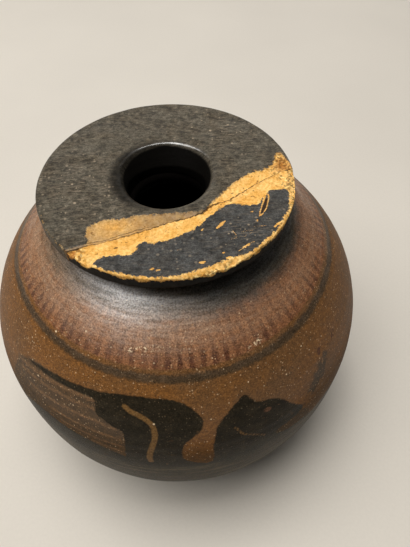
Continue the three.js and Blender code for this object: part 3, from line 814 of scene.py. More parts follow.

    # The inside of the globe, with the throat under the mouth, is painted near black: painted shade.
    hollow = wires.value_of("hollow")
    base = wires.mix(hollow, base, (0.003, 0.002, 0.0015))
    wires.join(base, shader.inputs["Base Color"])
    gloss = wires.spread(dark_paint, 0, 1, 0.56, 0.40)
    rough = wires.math("ADD", gloss, wires.spread(fine, 0.3, 0.7, -0.07, 0.09))
    bare_skin = wires.math("SUBTRACT", 1.0, hollow, clamp=True)
    wires.join(wires.math("MAXIMUM", rough, wires.math("MULTIPLY", hollow, 0.9)), shader.inputs["Roughness"])
    shoulder = wires.step(height, RING_LOW - 1.5, TONGUE_HIGH - 1.0)
    burnish = wires.math("MULTIPLY", shoulder, wires.spread(neck, 0, 1, 0.85, 0.75))
    grained = wires.math("MULTIPLY", burnish, wires.math("MULTIPLY", brushed, wires.spread(fine, 0.3, 0.7, 0.45, 1.5)))
    clay_sheen = wires.math("MULTIPLY", wires.step(height, 9.0, 18.0), wires.spread(dark_paint, 0, 1, 0.14, 0.01))
    coat = wires.math("MULTIPLY", wires.math("MAXIMUM", grained, clay_sheen), bare_skin)
    wires.join(coat, shader.inputs["Coat Weight"])
    shader.inputs["Coat Roughness"].default_value = 0.38
    shader.inputs["Coat IOR"].default_value = 2.5
    shader.inputs["Specular IOR Level"].default_value = 0.05
    relief = wires.math("ADD", grain.outputs["Height"], wires.math("MULTIPLY", specks.outputs["Mask"], 0.5))
    set_bump(wires, shader, relief, 0.5, 0.00022)
    return material


def disc_slip(name, colour, form, colours, smoothness):
    """Slip on the disc, with clay bared where it flaked. The smoothness is 0 for brushed, 1 for sleek."""
    material, wires, shader = new_finish(name)
    place = wires.objects_own()
    centred = wires.add("ShaderNodeMapping", {0: place}, vector_type="POINT")
    centred.inputs["Location"].default_value = (-form.mouth_shift * MM, 0, -form.disc_top * MM)
    grain = use_group(wires, group_named("Clay grain", clay_grain), {"Place": place, "Coarse scale": 170.0})
    fine = grain.outputs["Fine"]
    brushed = wires.add("ShaderNodeMapping", {0: place})
    brushed.inputs["Rotation"].default_value = (0, 0, 0.35)
    brushed.inputs["Scale"].default_value = (1.0, 1.7, 1.0)
    strokes = wires.noise(brushed.outputs[0], 640.0, 4.0, 0.65, 0.6)
    stroked = wires.spread(strokes, 0.36, 0.64, 0.62 + 0.1 * smoothness, 1.38 - 0.1 * smoothness)
    mottle = wires.spread(wires.noise(place, 620.0, 3.0, 0.6), 0.36, 0.64, 0.64, 1.36)
    tone = wires.math("MULTIPLY", wires.math("MULTIPLY", stroked, mottle), wires.spread(fine, 0.3, 0.7, 0.6, 1.4))
    tones = wires.add("ShaderNodeCombineColor", {0: tone, 1: tone, 2: tone}).outputs[0]
    cloud = wires.step(grain.outputs["Coarse"], 0.4, 0.72)
    warm = wires.mix(wires.math("MULTIPLY", cloud, 0.6 - 0.35 * smoothness), colour, (0.058, 0.043, 0.026))
    slip = wires.mix(1.0, warm, tones, "MULTIPLY")
    scuffed = wires.value_of("scuffed")
    hairs = use_group(wires, group_named("Hairlines", hairlines), {"Place": place}).outputs[0]
    slip = wires.mix(wires.math("MULTIPLY", hairs, wires.spread(scuffed, 0, 1, 0.32 - 0.24 * smoothness, 0.75)), slip, (0.24, 0.19, 0.135))
    specks = use_group(wires, group_named("Bright flecks", bright_flecks),
                       {"Place": place, "Scale": 950.0, "Share": 0.22, "Size": 0.4})
    marked = wires.math("MULTIPLY", specks.outputs["Mask"], wires.spread(scuffed, 0, 1, 0.16, 0.9))
    slip = wires.mix(marked, slip, (0.42, 0.33, 0.23))

    edge = group_named("Ragged edge", ragged_edge)
    flaked_off = use_group(wires, edge, {"Place": place, "Depth": wires.value_of("bare"), "Raggedness": 1.0,
                                         "Softness": 0.12, "Scale": 1700.0}).outputs[0]
    veil = wires.math("MULTIPLY", wires.value_of("veil"), wires.spread(strokes, 0.3, 0.7, 0.7, 1.15))
    bare = wires.math("MULTIPLY", flaked_off, wires.math("SUBTRACT", 1.0, veil, clamp=True))
    # The lip value paints shade: black down the throat, darker round the lip, on the rim's side and under the disc.
    lip = wires.value_of("lip")
    ragged_shade = wires.math("ADD", lip, wires.math("MULTIPLY", wires.math("SUBTRACT", mottle, 1.0), 0.22))
    slip = wires.mix(wires.step(ragged_shade, 0.05, 0.75), slip, (0.0035, 0.0030, 0.0024))
    paste = use_group(wires, group_named("Bared paste", bared_paste), {
        "Place": place, "Golden": colours.paste, "Dull": colours.ochre, "Rust": colours.rust,
        "Brightness": wires.value_of("golden"), "Stain": wires.value_of("rusty"),
        "Crumble": wires.value_of("crumbs")})
    bared = wires.mix(bare, slip, paste.outputs["Color"])
    seam = wires.math("ADD", wires.value_of("seam"), wires.math("MULTIPLY", wires.math("SUBTRACT", fine, 0.5), 0.2))
    crack = wires.step(seam, 0.26, 0.14)
    beside = wires.step(wires.math("ABSOLUTE", wires.math("SUBTRACT", seam, 0.95)), 0.16, 0.06)
    crack = wires.math("MAXIMUM", crack, wires.math("MULTIPLY", beside, wires.value_of("streak")))
    crack = wires.math("MAXIMUM", crack, wires.step(wires.value_of("pit"), 0.0, 0.1))
    bared = wires.mix(wires.math("MULTIPLY", crack, 0.85), bared, (0.034, 0.018, 0.008))
    wires.join(bared, shader.inputs["Base Color"])
    slip_rough = wires.spread(strokes, 0.3, 0.7, 0.42, 0.60 - 0.1 * smoothness)
    open_face = wires.math("SUBTRACT", 1.0, wires.math("MAXIMUM", bare, wires.step(lip, 0.3, 0.8)), clamp=True)
    sheen = wires.math("MULTIPLY", open_face, wires.spread(strokes, 0.36, 0.64, 0.22, 0.05))
    arris = wires.math("MULTIPLY", wires.value_of("sleek"), wires.spread(mottle, 0.7, 1.3, 0.85, 1.0))
    wires.join(wires.math("MAXIMUM", sheen, arris), shader.inputs["Coat Weight"])
    shader.inputs["Coat Roughness"].default_value = 0.26
    shader.inputs["Coat IOR"].default_value = 2.0
    shader.inputs["Specular IOR Level"].default_value = 0.03
    rough = wires.add("ShaderNodeMix", {0: bare, 2: slip_rough, 3: 0.86}, data_type="FLOAT").outputs[0]
    wires.join(rough, shader.inputs["Roughness"])
    slip_height = wires.math("MULTIPLY", wires.math("ADD", strokes, wires.math("MULTIPLY", fine, 0.6)),
                             0.9 - 0.5 * smoothness)
    heights = wires.add("ShaderNodeMix", {0: bare, 2: slip_height, 3: paste.outputs["Height"]}, data_type="FLOAT")
    set_bump(wires, shader, heights.outputs[0], 0.5, 0.00022)
    return material


def handle_slip(colours):
    """Dark slip of the handle and of the slips that lute it, rubbed brown on its high places."""
    material, wires, shader = new_finish("Handle slip")
    place = wires.objects_own()
    grain = use_group(wires, group_named("Clay grain", clay_grain), {"Place": place, "Coarse scale": 150.0})
    drawn = wires.add("ShaderNodeMapping", {0: place})
    drawn.inputs["Scale"].default_value = (3.0, 0.6, 0.6)
    strokes = wires.noise(drawn.outputs[0], 260.0, 4.0, 0.6, 0.4)
    rubbed = wires.step(grain.outputs["Coarse"], 0.56, 0.74)
    base = wires.mix(wires.step(strokes, 0.35, 0.68), colours.slip, (0.060, 0.047, 0.033))
    base = wires.mix(wires.math("MULTIPLY", rubbed, 0.6), base, (0.11, 0.062, 0.034))
    specks = use_group(wires, group_named("Bright flecks", bright_flecks),
                       {"Place": place, "Scale": 900.0, "Share": 0.08, "Size": 0.3})
    base = wires.mix(wires.math("MULTIPLY", specks.outputs["Mask"], 0.4), base, (0.3, 0.22, 0.14))
    wires.join(base, shader.inputs["Base Color"])
    wires.join(wires.spread(strokes, 0.3, 0.7, 0.40, 0.58), shader.inputs["Roughness"])
    set_bump(wires, shader, wires.math("ADD", strokes, grain.outputs["Height"]), 0.45, 0.0002)
    return material


def adhesive_finish(colours):
    """Aged adhesive, brown and a little glossy."""
    material, wires, shader = new_finish("Adhesive")
    place = wires.objects_own()
    uneven = wires.noise(place, 700.0, 3.0)
    wires.join(wires.mix(uneven, colours.adhesive, (0.12, 0.07, 0.03)), shader.inputs["Base Color"])
    wires.join(wires.spread(uneven, 0.3, 0.7, 0.3, 0.5), shader.inputs["Roughness"])
    return material


def mica_finish(colours):
    """Grains of mica and lime, from gold to white."""
    material, wires, shader = new_finish("Mica")
    place = wires.objects_own()
    chance = wires.noise(place, 380.0, 1.0)
    wires.join(wires.mix(wires.step(chance, 0.4, 0.62), (0.46, 0.24, 0.09), colours.mica),
               shader.inputs["Base Color"])
    wires.join(wires.spread(chance, 0.3, 0.7, 0.28, 0.5), shader.inputs["Roughness"])
    return material


def paper_finish(colours):
    """Pale paper with a faint uneven tone."""
    material, wires, shader = new_finish("Floor paper")
    place = wires.objects_own()
    cloud = wires.noise(place, 9.0, 3.0, 0.5)
    grain = wires.noise(place, 900.0, 2.0, 0.5)
    shade_of = wires.math("MULTIPLY", wires.spread(cloud, 0.3, 0.7, 0.97, 1.03),
                          wires.spread(grain, 0.3, 0.7, 0.985, 1.015))
    tones = wires.add("ShaderNodeCombineColor", {0: shade_of, 1: shade_of, 2: shade_of}).outputs[0]
    wires.join(wires.mix(1.0, colours.floor, tones, "MULTIPLY"), shader.inputs["Base Color"])
    shader.inputs["Roughness"].default_value = 0.75
    shader.inputs["Specular IOR Level"].default_value = 0.3
    away = wires.add("ShaderNodeVectorMath", {0: place}, operation="LENGTH")
    seen = wires.add("ShaderNodeLightPath").outputs["Is Camera Ray"]
    backdrop = wires.math("MULTIPLY", wires.step(away.outputs["Value"], 0.45, 1.6), seen)
    wires.join(wires.mix(backdrop, (0.0, 0.0, 0.0), (0.62, 0.60, 0.56)), shader.inputs["Emission Color"])
    shader.inputs["Emission Strength"].default_value = 1.0
    set_bump(wires, shader, grain, 0.1, 0.0002)
    return material


# Geometry trees

def new_tree(name, inputs):
    """An empty geometry tree with named inputs, and the wires, inlet and outlet to fill it with."""
    tree = bpy.data.node_groups.new(name, "GeometryNodeTree")
    tree.interface.new_socket("Geometry", in_out="INPUT", socket_type="NodeSocketGeometry")
    for label, kind in inputs:
        tree.interface.new_socket(label, in_out="INPUT", socket_type=kind)
    tree.interface.new_socket("Geometry", in_out="OUTPUT", socket_type="NodeSocketGeometry")
    wires = Wires(tree)
    return tree, wires, wires.add("NodeGroupInput"), wires.add("NodeGroupOutput")


def end_tree(wires, inlet, outlet, geometry):
    """Shades smooth, realizes instances and sets the finish."""
    smoothed = wires.add("GeometryNodeSetShadeSmooth", {"Geometry": geometry})
    real = wires.add("GeometryNodeRealizeInstances", {"Geometry": smoothed.outputs[0]})
    finished = wires.add("GeometryNodeSetMaterial", {
        "Geometry": real.outputs[0], "Material": inlet.outputs["Finish"]})
    wires.join(finished.outputs[0], outlet.inputs[0])


def run_tree(piece, tree, values):
    """Runs a tree on a piece and keeps the result as the piece's plain mesh."""
    modifier = piece.modifiers.new(tree.name, "NODES")
    modifier.node_group = tree
    for item in tree.interface.items_tree:
        if item.in_out == "INPUT" and item.name in values:
            modifier[item.identifier] = values[item.name]
    graph = bpy.context.evaluated_depsgraph_get()
    made = bpy.data.meshes.new_from_object(piece.evaluated_get(graph))
    piece.modifiers.remove(modifier)
    piece.data = made
    turn_outwards(made)


def wheel_tree():
    """Turns a row of profile points (radius along X, height along Z) round the Z axis."""
    tree, wires, inlet, outlet = new_tree(
        "Throw on the wheel", [("Turn steps", "NodeSocketInt"), ("Finish", "NodeSocketMaterial")])
    profile = inlet.outputs["Geometry"]
    rows = wires.add("GeometryNodeAttributeDomainSize", {0: profile}, component="MESH").outputs["Point Count"]
    columns = wires.math("ADD", inlet.outputs["Turn steps"], 1)
    grid = wires.add("GeometryNodeMeshGrid", {"Size X": 1.0, "Size Y": 1.0, "Vertices X": columns,
                                              "Vertices Y": rows})
    spot = wires.add("ShaderNodeSeparateXYZ", {0: wires.add("GeometryNodeInputPosition").outputs[0]})
    turn = wires.math("MULTIPLY", wires.math("ADD", spot.outputs[0], 0.5), 2 * math.pi)
    share = wires.math("ADD", spot.outputs[1], 0.5)
    row = wires.math("ROUND", wires.math("MULTIPLY", share, wires.math("SUBTRACT", rows, 1)))
    sample = wires.add("GeometryNodeSampleIndex", data_type="FLOAT_VECTOR", domain="POINT")
    wires.join(profile, sample.inputs["Geometry"])
    wires.join(wires.add("GeometryNodeInputPosition").outputs[0], sample.inputs["Value"])
    wires.join(row, sample.inputs["Index"])
    corner = wires.add("ShaderNodeSeparateXYZ", {0: sample.outputs[0]})
    radius = corner.outputs[0]
    thrown = wires.add("ShaderNodeCombineXYZ", {
        0: wires.math("MULTIPLY", radius, wires.math("COSINE", turn)),
        1: wires.math("MULTIPLY", radius, wires.math("SINE", turn)),
        2: corner.outputs[2]})
    placed = wires.add("GeometryNodeSetPosition", {
        "Geometry": grid.outputs["Mesh"], "Position": thrown.outputs[0]})
    closed = wires.add("GeometryNodeMergeByDistance", {"Geometry": placed.outputs[0], "Distance": 0.02 * MM})
    end_tree(wires, inlet, outlet, closed.outputs[0])
    return tree


def strap_tree():
    """Pulls a flat strap along a line of points, as broad at each as the value kept there."""
    tree, wires, inlet, outlet = new_tree("Pull a strap", [
        ("Half width", "NodeSocketFloat"), ("Half thickness", "NodeSocketFloat"),
        ("Section steps", "NodeSocketInt"), ("Finish", "NodeSocketMaterial")])
    path = wires.add("GeometryNodeMeshToCurve", {"Mesh": inlet.outputs["Geometry"]})
    breadth = wires.add("GeometryNodeInputNamedAttribute", {"Name": "breadth"}, data_type="FLOAT")
    ring = wires.add("GeometryNodeCurvePrimitiveCircle", {"Resolution": inlet.outputs["Section steps"],
                                                          "Radius": 1.0}, mode="RADIUS")
    spot = wires.add("ShaderNodeSeparateXYZ", {0: wires.add("GeometryNodeInputPosition").outputs[0]})

    def squared(value):
        full = wires.math("POWER", wires.math("ABSOLUTE", value), 2 / 2.6)
        return wires.math("MULTIPLY", wires.math("SIGN", value), full)

    section = wires.add("ShaderNodeCombineXYZ", {
        0: wires.math("MULTIPLY", squared(spot.outputs[0]), inlet.outputs["Half width"]),
        1: wires.math("MULTIPLY", squared(spot.outputs[1]), inlet.outputs["Half thickness"])})
    shaped = wires.add("GeometryNodeSetPosition", {"Geometry": ring.outputs[0], "Position": section.outputs[0]})
    pulled = wires.add("GeometryNodeCurveToMesh", {
        "Curve": path.outputs[0], "Profile Curve": shaped.outputs[0], "Scale": breadth.outputs[0],
        "Fill Caps": True})
    end_tree(wires, inlet, outlet, pulled.outputs[0])
    return tree


def grit_tree():
    """Scatters flat grains over a surface, thinned out by the value kept on it."""
    tree, wires, inlet, outlet = new_tree("Scatter grit", [
        ("Density", "NodeSocketFloat"), ("Grain", "NodeSocketFloat"), ("Seed", "NodeSocketInt"),
        ("Finish", "NodeSocketMaterial")])
    share = wires.add("GeometryNodeInputNamedAttribute", {"Name": "gritty"}, data_type="FLOAT")
    density = wires.math("MULTIPLY", inlet.outputs["Density"], share.outputs[0])
    points = wires.add("GeometryNodeDistributePointsOnFaces", {
        "Mesh": inlet.outputs["Geometry"], "Density": density, "Seed": inlet.outputs["Seed"]})
    grain = wires.add("GeometryNodeMeshIcoSphere", {"Radius": inlet.outputs["Grain"], "Subdivisions": 1})
    chance = wires.add("FunctionNodeRandomValue", {2: 0.0, 3: 1.0, 8: 4}, data_type="FLOAT")
    size = wires.spread(wires.math("POWER", chance.outputs[1], 3.0), 0, 1, 0.4, 1.1)
    skew = wires.add("FunctionNodeRandomValue", {2: 0.6, 3: 1.3, 8: 9}, data_type="FLOAT")
    scale = wires.add("ShaderNodeCombineXYZ", {
        0: wires.math("MULTIPLY", size, skew.outputs[1]), 1: size, 2: wires.math("MULTIPLY", size, 0.45)})
    placed = wires.add("GeometryNodeInstanceOnPoints", {
        "Points": points.outputs["Points"], "Instance": grain.outputs["Mesh"],
        "Rotation": points.outputs["Rotation"], "Scale": scale.outputs[0]})
    end_tree(wires, inlet, outlet, placed.outputs[0])
    return tree


# Pieces

def azimuth_of(points):
    """Degrees round the flask from its front, to the right."""
    return np.degrees(np.arctan2(points[:, 0], -points[:, 1]))


def unrolled(table):
    """Degrees and heights as lengths over the clay."""
    return np.array(table, float) * [ARC_PER_DEGREE, SLANT]


def paint_globe(piece, form, outside):
    """Keeps on each point of the globe how deep it lies in each painted shape."""
    points = places_of(piece)
    level = points[:, 2] - form.equator
    flat = np.stack([azimuth_of(points) * ARC_PER_DEGREE, level * SLANT], axis=1)
    far = np.full(len(points), -9.0)

    def kept(name, values):
        found = far.copy()
        found[near] = np.maximum(values, -9)
        set_values(piece, name, found)

    near = outside & (level > -9) & (level < 30)
    spots = flat[near]
    wing = depth_inside(spots, rounded(unrolled(WING)))
    body = depth_inside(spots, rounded(unrolled(BODY)))
    head = depth_inside(spots, rounded(unrolled(HEAD), 1))
    ground = GROUND_TOP * SLANT - spots[:, 1] - 1.6 * smooth(abs(spots[:, 0]) / ARC_PER_DEGREE, 22, 34)
    ground = np.where(abs(spots[:, 0]) < 36 * ARC_PER_DEGREE, ground, -9)
    gap = depth_inside(spots, rounded(unrolled([(-1.8, 1.6), (-2.2, 6), (5.6, 6), (5.5, 1.4)]), 1))
    wing = wing - 0.5 * smooth(-spots[:, 0] / ARC_PER_DEGREE, 30, 54)
    kept("figure", np.maximum.reduce([wing, body, head, np.minimum(ground, -gap - 0.2)]))
    feathers = depth_inside(spots, rounded(unrolled(FEATHER_ZONE)))
    kept("wash", np.maximum(feathers, depth_inside(spots, rounded(unrolled(THROAT_ZONE), 1))))
    lines = [distance_to(spots, rounded(unrolled(line), 2, False), False) for line in FEATHER_LINES]
    kept("feather", 0.46 - np.minimum.reduce(lines))
    stripe = 0.72 - distance_to(spots, rounded(unrolled(WING_STRIPE), 2, False), False)
    jaw = 0.32 - distance_to(spots, rounded(unrolled(JAW_LINE), 2, False), False)
    seam = 0.16 - distance_to(spots, rounded(unrolled(WING_SEAM), 1, False), False)
    kept("stripe", np.maximum.reduce([stripe, jaw, seam]))
    kept("eye", depth_in_spots(spots, [(x * ARC_PER_DEGREE, z * SLANT, a, b, t) for x, z, a, b, t in EYE]))
    kept("dab", depth_in_spots(spots, [(x * ARC_PER_DEGREE, z * SLANT, a, b, t) for x, z, a, b, t in DABS]))
    blossoms = []
    for azimuth, height, size, lobes in BLOSSOMS:
        away = spots - np.array([azimuth * ARC_PER_DEGREE, height * SLANT])
        bearing = np.arctan2(away[:, 1], away[:, 0])
        blossoms.append(size * (0.8 + 0.25 * np.cos(lobes * bearing + azimuth)) - np.hypot(*away.T))
    kept("blossom", np.maximum.reduce(blossoms))
    # The throat under the mouth counts as inside, so that it is painted near black as shade too.
    covered = (np.hypot(points[:, 0], points[:, 1]) < form.neck_radius) & (level > 0)
    scuffs = [distance_to(flat, unrolled(line), False) for line in SHOULDER_SCUFFS]
    set_values(piece, "scuffed", 0.7 - np.minimum.reduce(scuffs))
    set_values(piece, "hollow", np.where(outside & ~covered, 0.0, 1.0))


class ThrowGlobe(bpy.types.Operator):
    """Throws the globe on the wheel and paints it"""
    bl_idname = "flask.throw_globe"
    bl_label = "Throw the globe"

    def execute(self, context):
        form = Form(context.scene.flask_sizes)
        profile, outside_count = form.globe_profile()
        rows = np.stack([profile[:, 0], np.zeros(len(profile)), profile[:, 1] + form.equator], axis=1)
        globe = new_piece("painted_globe", rows, [])
        finish = painted_clay(context.scene.flask_colours, form)
        run_tree(globe, wheel_tree(), {"Turn steps": form.turn_steps, "Finish": finish})
        points = places_of(globe)
        radius = np.hypot(points[:, 0], points[:, 1])
        level = points[:, 2] - form.equator
        hull = np.where(level > 0, form.crown(radius, form.wall * 0.5),
                        -(form.belly_depth - form.wall / 2) * form.fullness(
                            np.minimum(radius / (form.globe_radius - form.wall / 2), 1), form.belly_power))
        inner_reach = form.globe_radius - form.wall / 2
        outside = np.where(level > 0, level > hull, level < hull) | (radius > inner_reach)
        outward = points * [1, 1, 0] / np.maximum(radius, 1e-6)[:, None]
        rings = 0.05 * np.sin(points[:, 2] * 1.7) * np.sin(points[:, 2] * 0.31 + 1)
        uneven = 0.10 * ripple(points, 30, 11) + 0.03 * ripple(points, 6, 12) + rings
        standing = smooth(points[:, 2], 1, 8) * (1 - smooth(radius, form.globe_radius - 1, form.globe_radius))
        place_points(globe, points + outward * (uneven * standing * outside)[:, None])
        paint_globe(globe, form, outside)
        finish_piece(globe, "painted_clay", "globe")
        return {"FINISHED"}


def disc_relief(points, form, seed):
    """Small unevenness of the disc's turned and brushed face."""
    radius = np.hypot(points[:, 0], points[:, 1])
    turned = 0.02 * np.sin(radius * 5.2 + ripple(points[:, :2], 9, seed))
    return turned + 0.035 * ripple(points[:, :2], 5, seed + 1) + 0.012 * ripple(points[:, :2], 0.9, seed + 2)


def flaked(points, bare, form, seed):
    """How deep the flakes along the break have cut at each place."""
    slope = 0.3 * np.maximum(bare, 0)
    uneven = 0.75 + 0.3 * ripple(points[:, :2], 2.4, seed) + 0.12 * ripple(points[:, :2], 0.8, seed + 1)
    lip = 0.07 * smooth(bare, 0, 0.3)
    return lip + np.minimum(slope, form.spall_depth) * np.clip(uneven, 0.2, 1.3)


def section_rows(inner, outer, share_points):
    """Radii between an inner and an outer edge, one row for each share."""
    return inner[None, :] + (outer - inner)[None, :] * np.asarray(share_points)[:, None]


def quarter(steps, start, end):
    """Angles of a quarter round without its first one."""
    return np.radians(np.linspace(start, end, steps + 1))[1:]


class SetMouth(bpy.types.Operator):
    """Throws the disc mouth, breaks its front off and lutes its neck on the shoulder"""
    bl_idname = "flask.set_mouth"
    bl_label = "Set the mouth"

    columns = 640
    lip_bearing = 85
    lip_edge = 0.9
    throat_slope = math.radians(52)

    def execute(self, context):
        form = Form(context.scene.flask_sizes)
        colours = context.scene.flask_colours
        angles = np.linspace(0, 2 * math.pi, self.columns, endpoint=False)
        broken = form.break_radius(angles) + form.break_gap / 2
        rim = form.disc_radius + 0.05 * ripple(np.stack([np.cos(angles), np.sin(angles)], axis=1) * 30, 5, 3)
        rim = np.minimum(rim, form.disc_radius)
        whole = smooth(broken - form.disc_radius, 0, 1.2)
        edge = 0.05 + (form.edge_round - 0.05) * whole
        reach = np.minimum(rim, broken)
        one = np.ones(self.columns)
        rows = []

        def row(radius, height, kind):
            rows.append((radius * one, height * one, kind))

        bearing = np.cos(angles - math.radians(self.lip_bearing))
        lip = form.lip_width + form.lip_sway * bearing
        throat = self.throat_rows(form, lip, smooth(bearing, -0.8, 0.9))
        low = form.seat - 0.05
        for share in np.linspace(0, 1, 10)[:-1]:
            row(form.bore_radius, low + (throat[0][1] - low) * share, 0)
        for radius, height in throat:
            row(radius, height, 1)
        for radius in section_rows(form.bore_radius + lip, reach - edge, np.linspace(0, 1, 50)[1:]):
            row(radius, form.disc_top, 1)
        top_edge = len(rows) - 1
        for angle in quarter(4, 90, 0):
            row(reach - edge + edge * math.cos(angle), form.disc_top - edge + edge * math.sin(angle), 2)
        low = form.rim_underside + edge
        for share in np.linspace(0, 1, 8)[1:-1]:
            row(reach, form.disc_top - edge + (low - form.disc_top + edge) * share, 3)
        slope = (form.rim_underside - form.root_underside) / (form.disc_radius - form.neck_radius)
        for angle in quarter(4, 0, -90):
            row(reach - edge + edge * math.cos(angle), low + edge * math.sin(angle), 3)
        fillet = form.neck_radius + form.neck_fillet
        for radius in section_rows(reach - edge, fillet * one, np.linspace(0, 1, 14)[1:]):
            row(np.maximum(radius, fillet), form.rim_underside - slope * (form.disc_radius - radius), 3)
        for angle in quarter(6, 90, 180):
            row(fillet + form.neck_fillet * math.cos(angle),
                form.root_underside - form.neck_fillet + form.neck_fillet * math.sin(angle), 3)
        for height in np.linspace(form.root_underside - form.neck_fillet, form.seat - 0.05, 7)[1:]:
            row(form.neck_radius, height, 3)
        for radius in np.linspace(form.neck_radius, form.bore_radius, 4)[1:-1]:
            row(radius, form.seat - 0.05, 3)

        radii = np.array([radius for radius, _, _ in rows])
        heights = np.array([height for _, height, _ in rows])
        kinds = np.repeat([kind for _, _, kind in rows], self.columns)
        points = np.stack([radii * np.cos(angles), radii * np.sin(angles), heights], axis=-1).reshape(-1, 3)
        plan = points[:, :2].copy()
        dull = depth_inside(plan, rounded(DULL_PATCH, 1))
        gold = depth_inside(plan, rounded(GOLD_PATCH, 1))
        seam = self.from_break(form, plan)
        left = smooth(plan[:, 0], -2, -8)
        strip = np.where(plan[:, 0] < -3, 0.9 * left - seam, -5)
        bare = np.maximum.reduce([dull, gold, strip]) + 0.16 * ripple(plan, 1.4, 21)
        below = form.disc_top - points[:, 2]
        on_face = (kinds == 1) | (kinds == 2)
        deep = flaked(points, bare, form, 31)
        on_wall = kinds == 3
        cut = np.where(on_face, deep, deep * smooth(below, 2.2, 0.4) * on_wall)
        lift = np.where((kinds == 1), disc_relief(points, form, 41), 0)
        points[:, 2] += (lift - cut) * smooth(np.hypot(*plan.T), form.bore_radius, form.bore_radius + 2)
        at_break = np.tile(1 - whole, len(rows)) * on_wall
        near_rim = np.tile(np.where(reach < rim, 1.0, 0.0), len(rows))
        side_bare = np.where(near_rim > 0, 3.0, bare - 0.35 * np.maximum(below - 0.9, 0))
        bare_all = np.where(on_wall & (points[:, 2] > form.rim_underside - 0.2), side_bare, bare)
        bare_all = np.where(on_wall & (points[:, 2] <= form.rim_underside - 0.1), -5, bare_all)
        worn_edge = 0.0 - distance_to(plan, [(-31.4, -11), (-29.4, -16), (-27, -19.8), (-24.4, -22.9)], False)
        bare_all = np.maximum(bare_all, np.where(on_face, worn_edge + 0.16 * ripple(plan, 0.8, 7), -5))
        # Painted shade: the throat and round the lip, a little on the rim's side, more under the disc.
        shade_darkness = np.where(kinds == 3, 0.1, self.throat_black(form, points, kinds))
        shade_darkness = np.where((kinds == 3) & (points[:, 2] < form.rim_underside + 0.4), 0.6, shade_darkness)
        depth = form.disc_top - points[:, 2]
        points[:, 0] += form.mouth_shift
        disc = new_piece("disc_mouth_main", points, ring_faces(len(rows), self.columns, True, True))
        set_values(disc, "bare", np.clip(bare_all, -9, 9))
        bright = smooth(gold, -0.5, 0.5)
        fresh = np.exp(-((plan[:, 0] + 13.4) / 4.2) ** 2 - ((plan[:, 1] + 16.3) / 2.6) ** 2)
        mottled = 0.29 + 0.48 * fresh + 0.10 * ripple(plan, 1.2, 63)
        set_values(disc, "golden", np.clip(np.maximum(bright, mottled), 0, 1))
        tip = np.exp(-((plan[:, 0] - 31.3) / 2.2) ** 2 - ((plan[:, 1] - 2.2) / 3.6) ** 2)
        corner = smooth(plan[:, 0], -19, -23) * smooth(plan[:, 0], -25.5, -24)
        set_values(disc, "rusty", np.maximum(corner * 0.8, 0.95 * tip))
        quiet = (gold < 0.4) * (plan[:, 0] < 10)
        faded = 0.04 + 0.34 * smooth(plan[:, 0], -12, 3) + 0.25 * smooth(plan[:, 0], 3, 9)
        strip_only = smooth(dull, 0.2, -0.4) * smooth(gold, 0, -0.4)
        set_values(disc, "veil", np.clip(quiet * np.maximum(faded, 0.62 * strip_only), 0, 0.9))
        set_values(disc, "lip", shade_darkness)
        outer = np.tile(form.bore_radius + lip + 0.3, len(rows))
        sleek = smooth(depth, 0.005, 0.05) * smooth(depth, 0.55, 0.2) * (kinds == 1) * (np.hypot(*plan.T) < outer)
        set_values(disc, "sleek", sleek * smooth(plan[:, 1], 3, 9))
        set_values(disc, "seam", np.where(on_face, seam, 9))
        set_values(disc, "streak", left)
        ragged = 0.75 * np.exp(-(bare / 0.45) ** 2)
        tips = np.maximum(smooth(plan[:, 0], 26, 29.5), smooth(plan[:, 0], -20.5, -22.5))
        set_values(disc, "crumbs", np.clip(np.maximum(ragged, tips), 0, 1))
        cluster = np.exp(-((plan[:, 0] - 15) / 9) ** 2 - ((plan[:, 1] - 17) / 8) ** 2)
        # More scuffs on the lower left lighten that side of the disc: partly scratches, partly painted sheen.
        left_scuffs_and_sheen = 0.9 * np.exp(-((plan[:, 0] + 22) / 10) ** 2 - ((plan[:, 1] + 2) / 12) ** 2)
        set_values(disc, "scuffed", np.clip(cluster + left_scuffs_and_sheen, 0, 1))
        disc.data.materials.append(disc_slip("Brushed slip", colours.slip, form, colours, 0.0))
        finish_piece(disc, "dark_slip", "disc_mouth")
        self.lute_neck(form, colours)
        return {"FINISHED"}

    def throat_rows(self, form, lip, funnel):
        """The lip from the bore up to the face, an even round in front and a funnel with an edge behind."""
        run = lip - self.lip_edge * math.sin(self.throat_slope)
        drop = self.lip_edge * (1 - math.cos(self.throat_slope))
        rows = []
        for share in np.linspace(0, 1, 25):
            angle = math.radians(180 - 90 * share)
            even = (lip * (1 + math.cos(angle)), form.lip_depth * (math.sin(angle) - 1))
            if share < 0.5:
                steep = (run * share * 2, -drop - run * math.tan(self.throat_slope) * (1 - share * 2))
            else:
                tilt = self.throat_slope * (2 - share * 2)
                steep = (lip - self.lip_edge * math.sin(tilt), -self.lip_edge * (1 - math.cos(tilt)))
            radius = even[0] * (1 - funnel) + steep[0] * funnel
            height = even[1] * (1 - funnel) + steep[1] * funnel
            rows.append((form.bore_radius + radius, form.disc_top + height))
        return rows

    def throat_black(self, form, points, kinds):
        """How dark the slip is painted as shade: black where it turns down into the bore, and less dark round the lip,
        most on its left.
        """
        plan = points[:, :2]
        radius = np.hypot(*plan.T)
        angle = np.arctan2(plan[:, 1], plan[:, 0])
        edge = form.bore_radius + form.lip_width + form.lip_sway * np.cos(angle - math.radians(self.lip_bearing))
        ring = 0.2 + 0.35 * smooth(np.cos(angle - math.radians(170)), -0.2, 0.9)
        lip_shade = ring * smooth(radius - edge, 3.2, 0)
        return np.where(kinds < 2, np.maximum(smooth(form.disc_top - points[:, 2], 0.2, 1.0 + 1.3 * abs(np.cos(angle))), lip_shade), 0)

    def from_break(self, form, plan):
        """How far each place on the face lies from the line of the break."""
        angles = np.arctan2(plan[:, 1], plan[:, 0])
        return np.minimum(abs(np.hypot(*plan.T) - form.break_radius(angles)) * 0.8, 9)

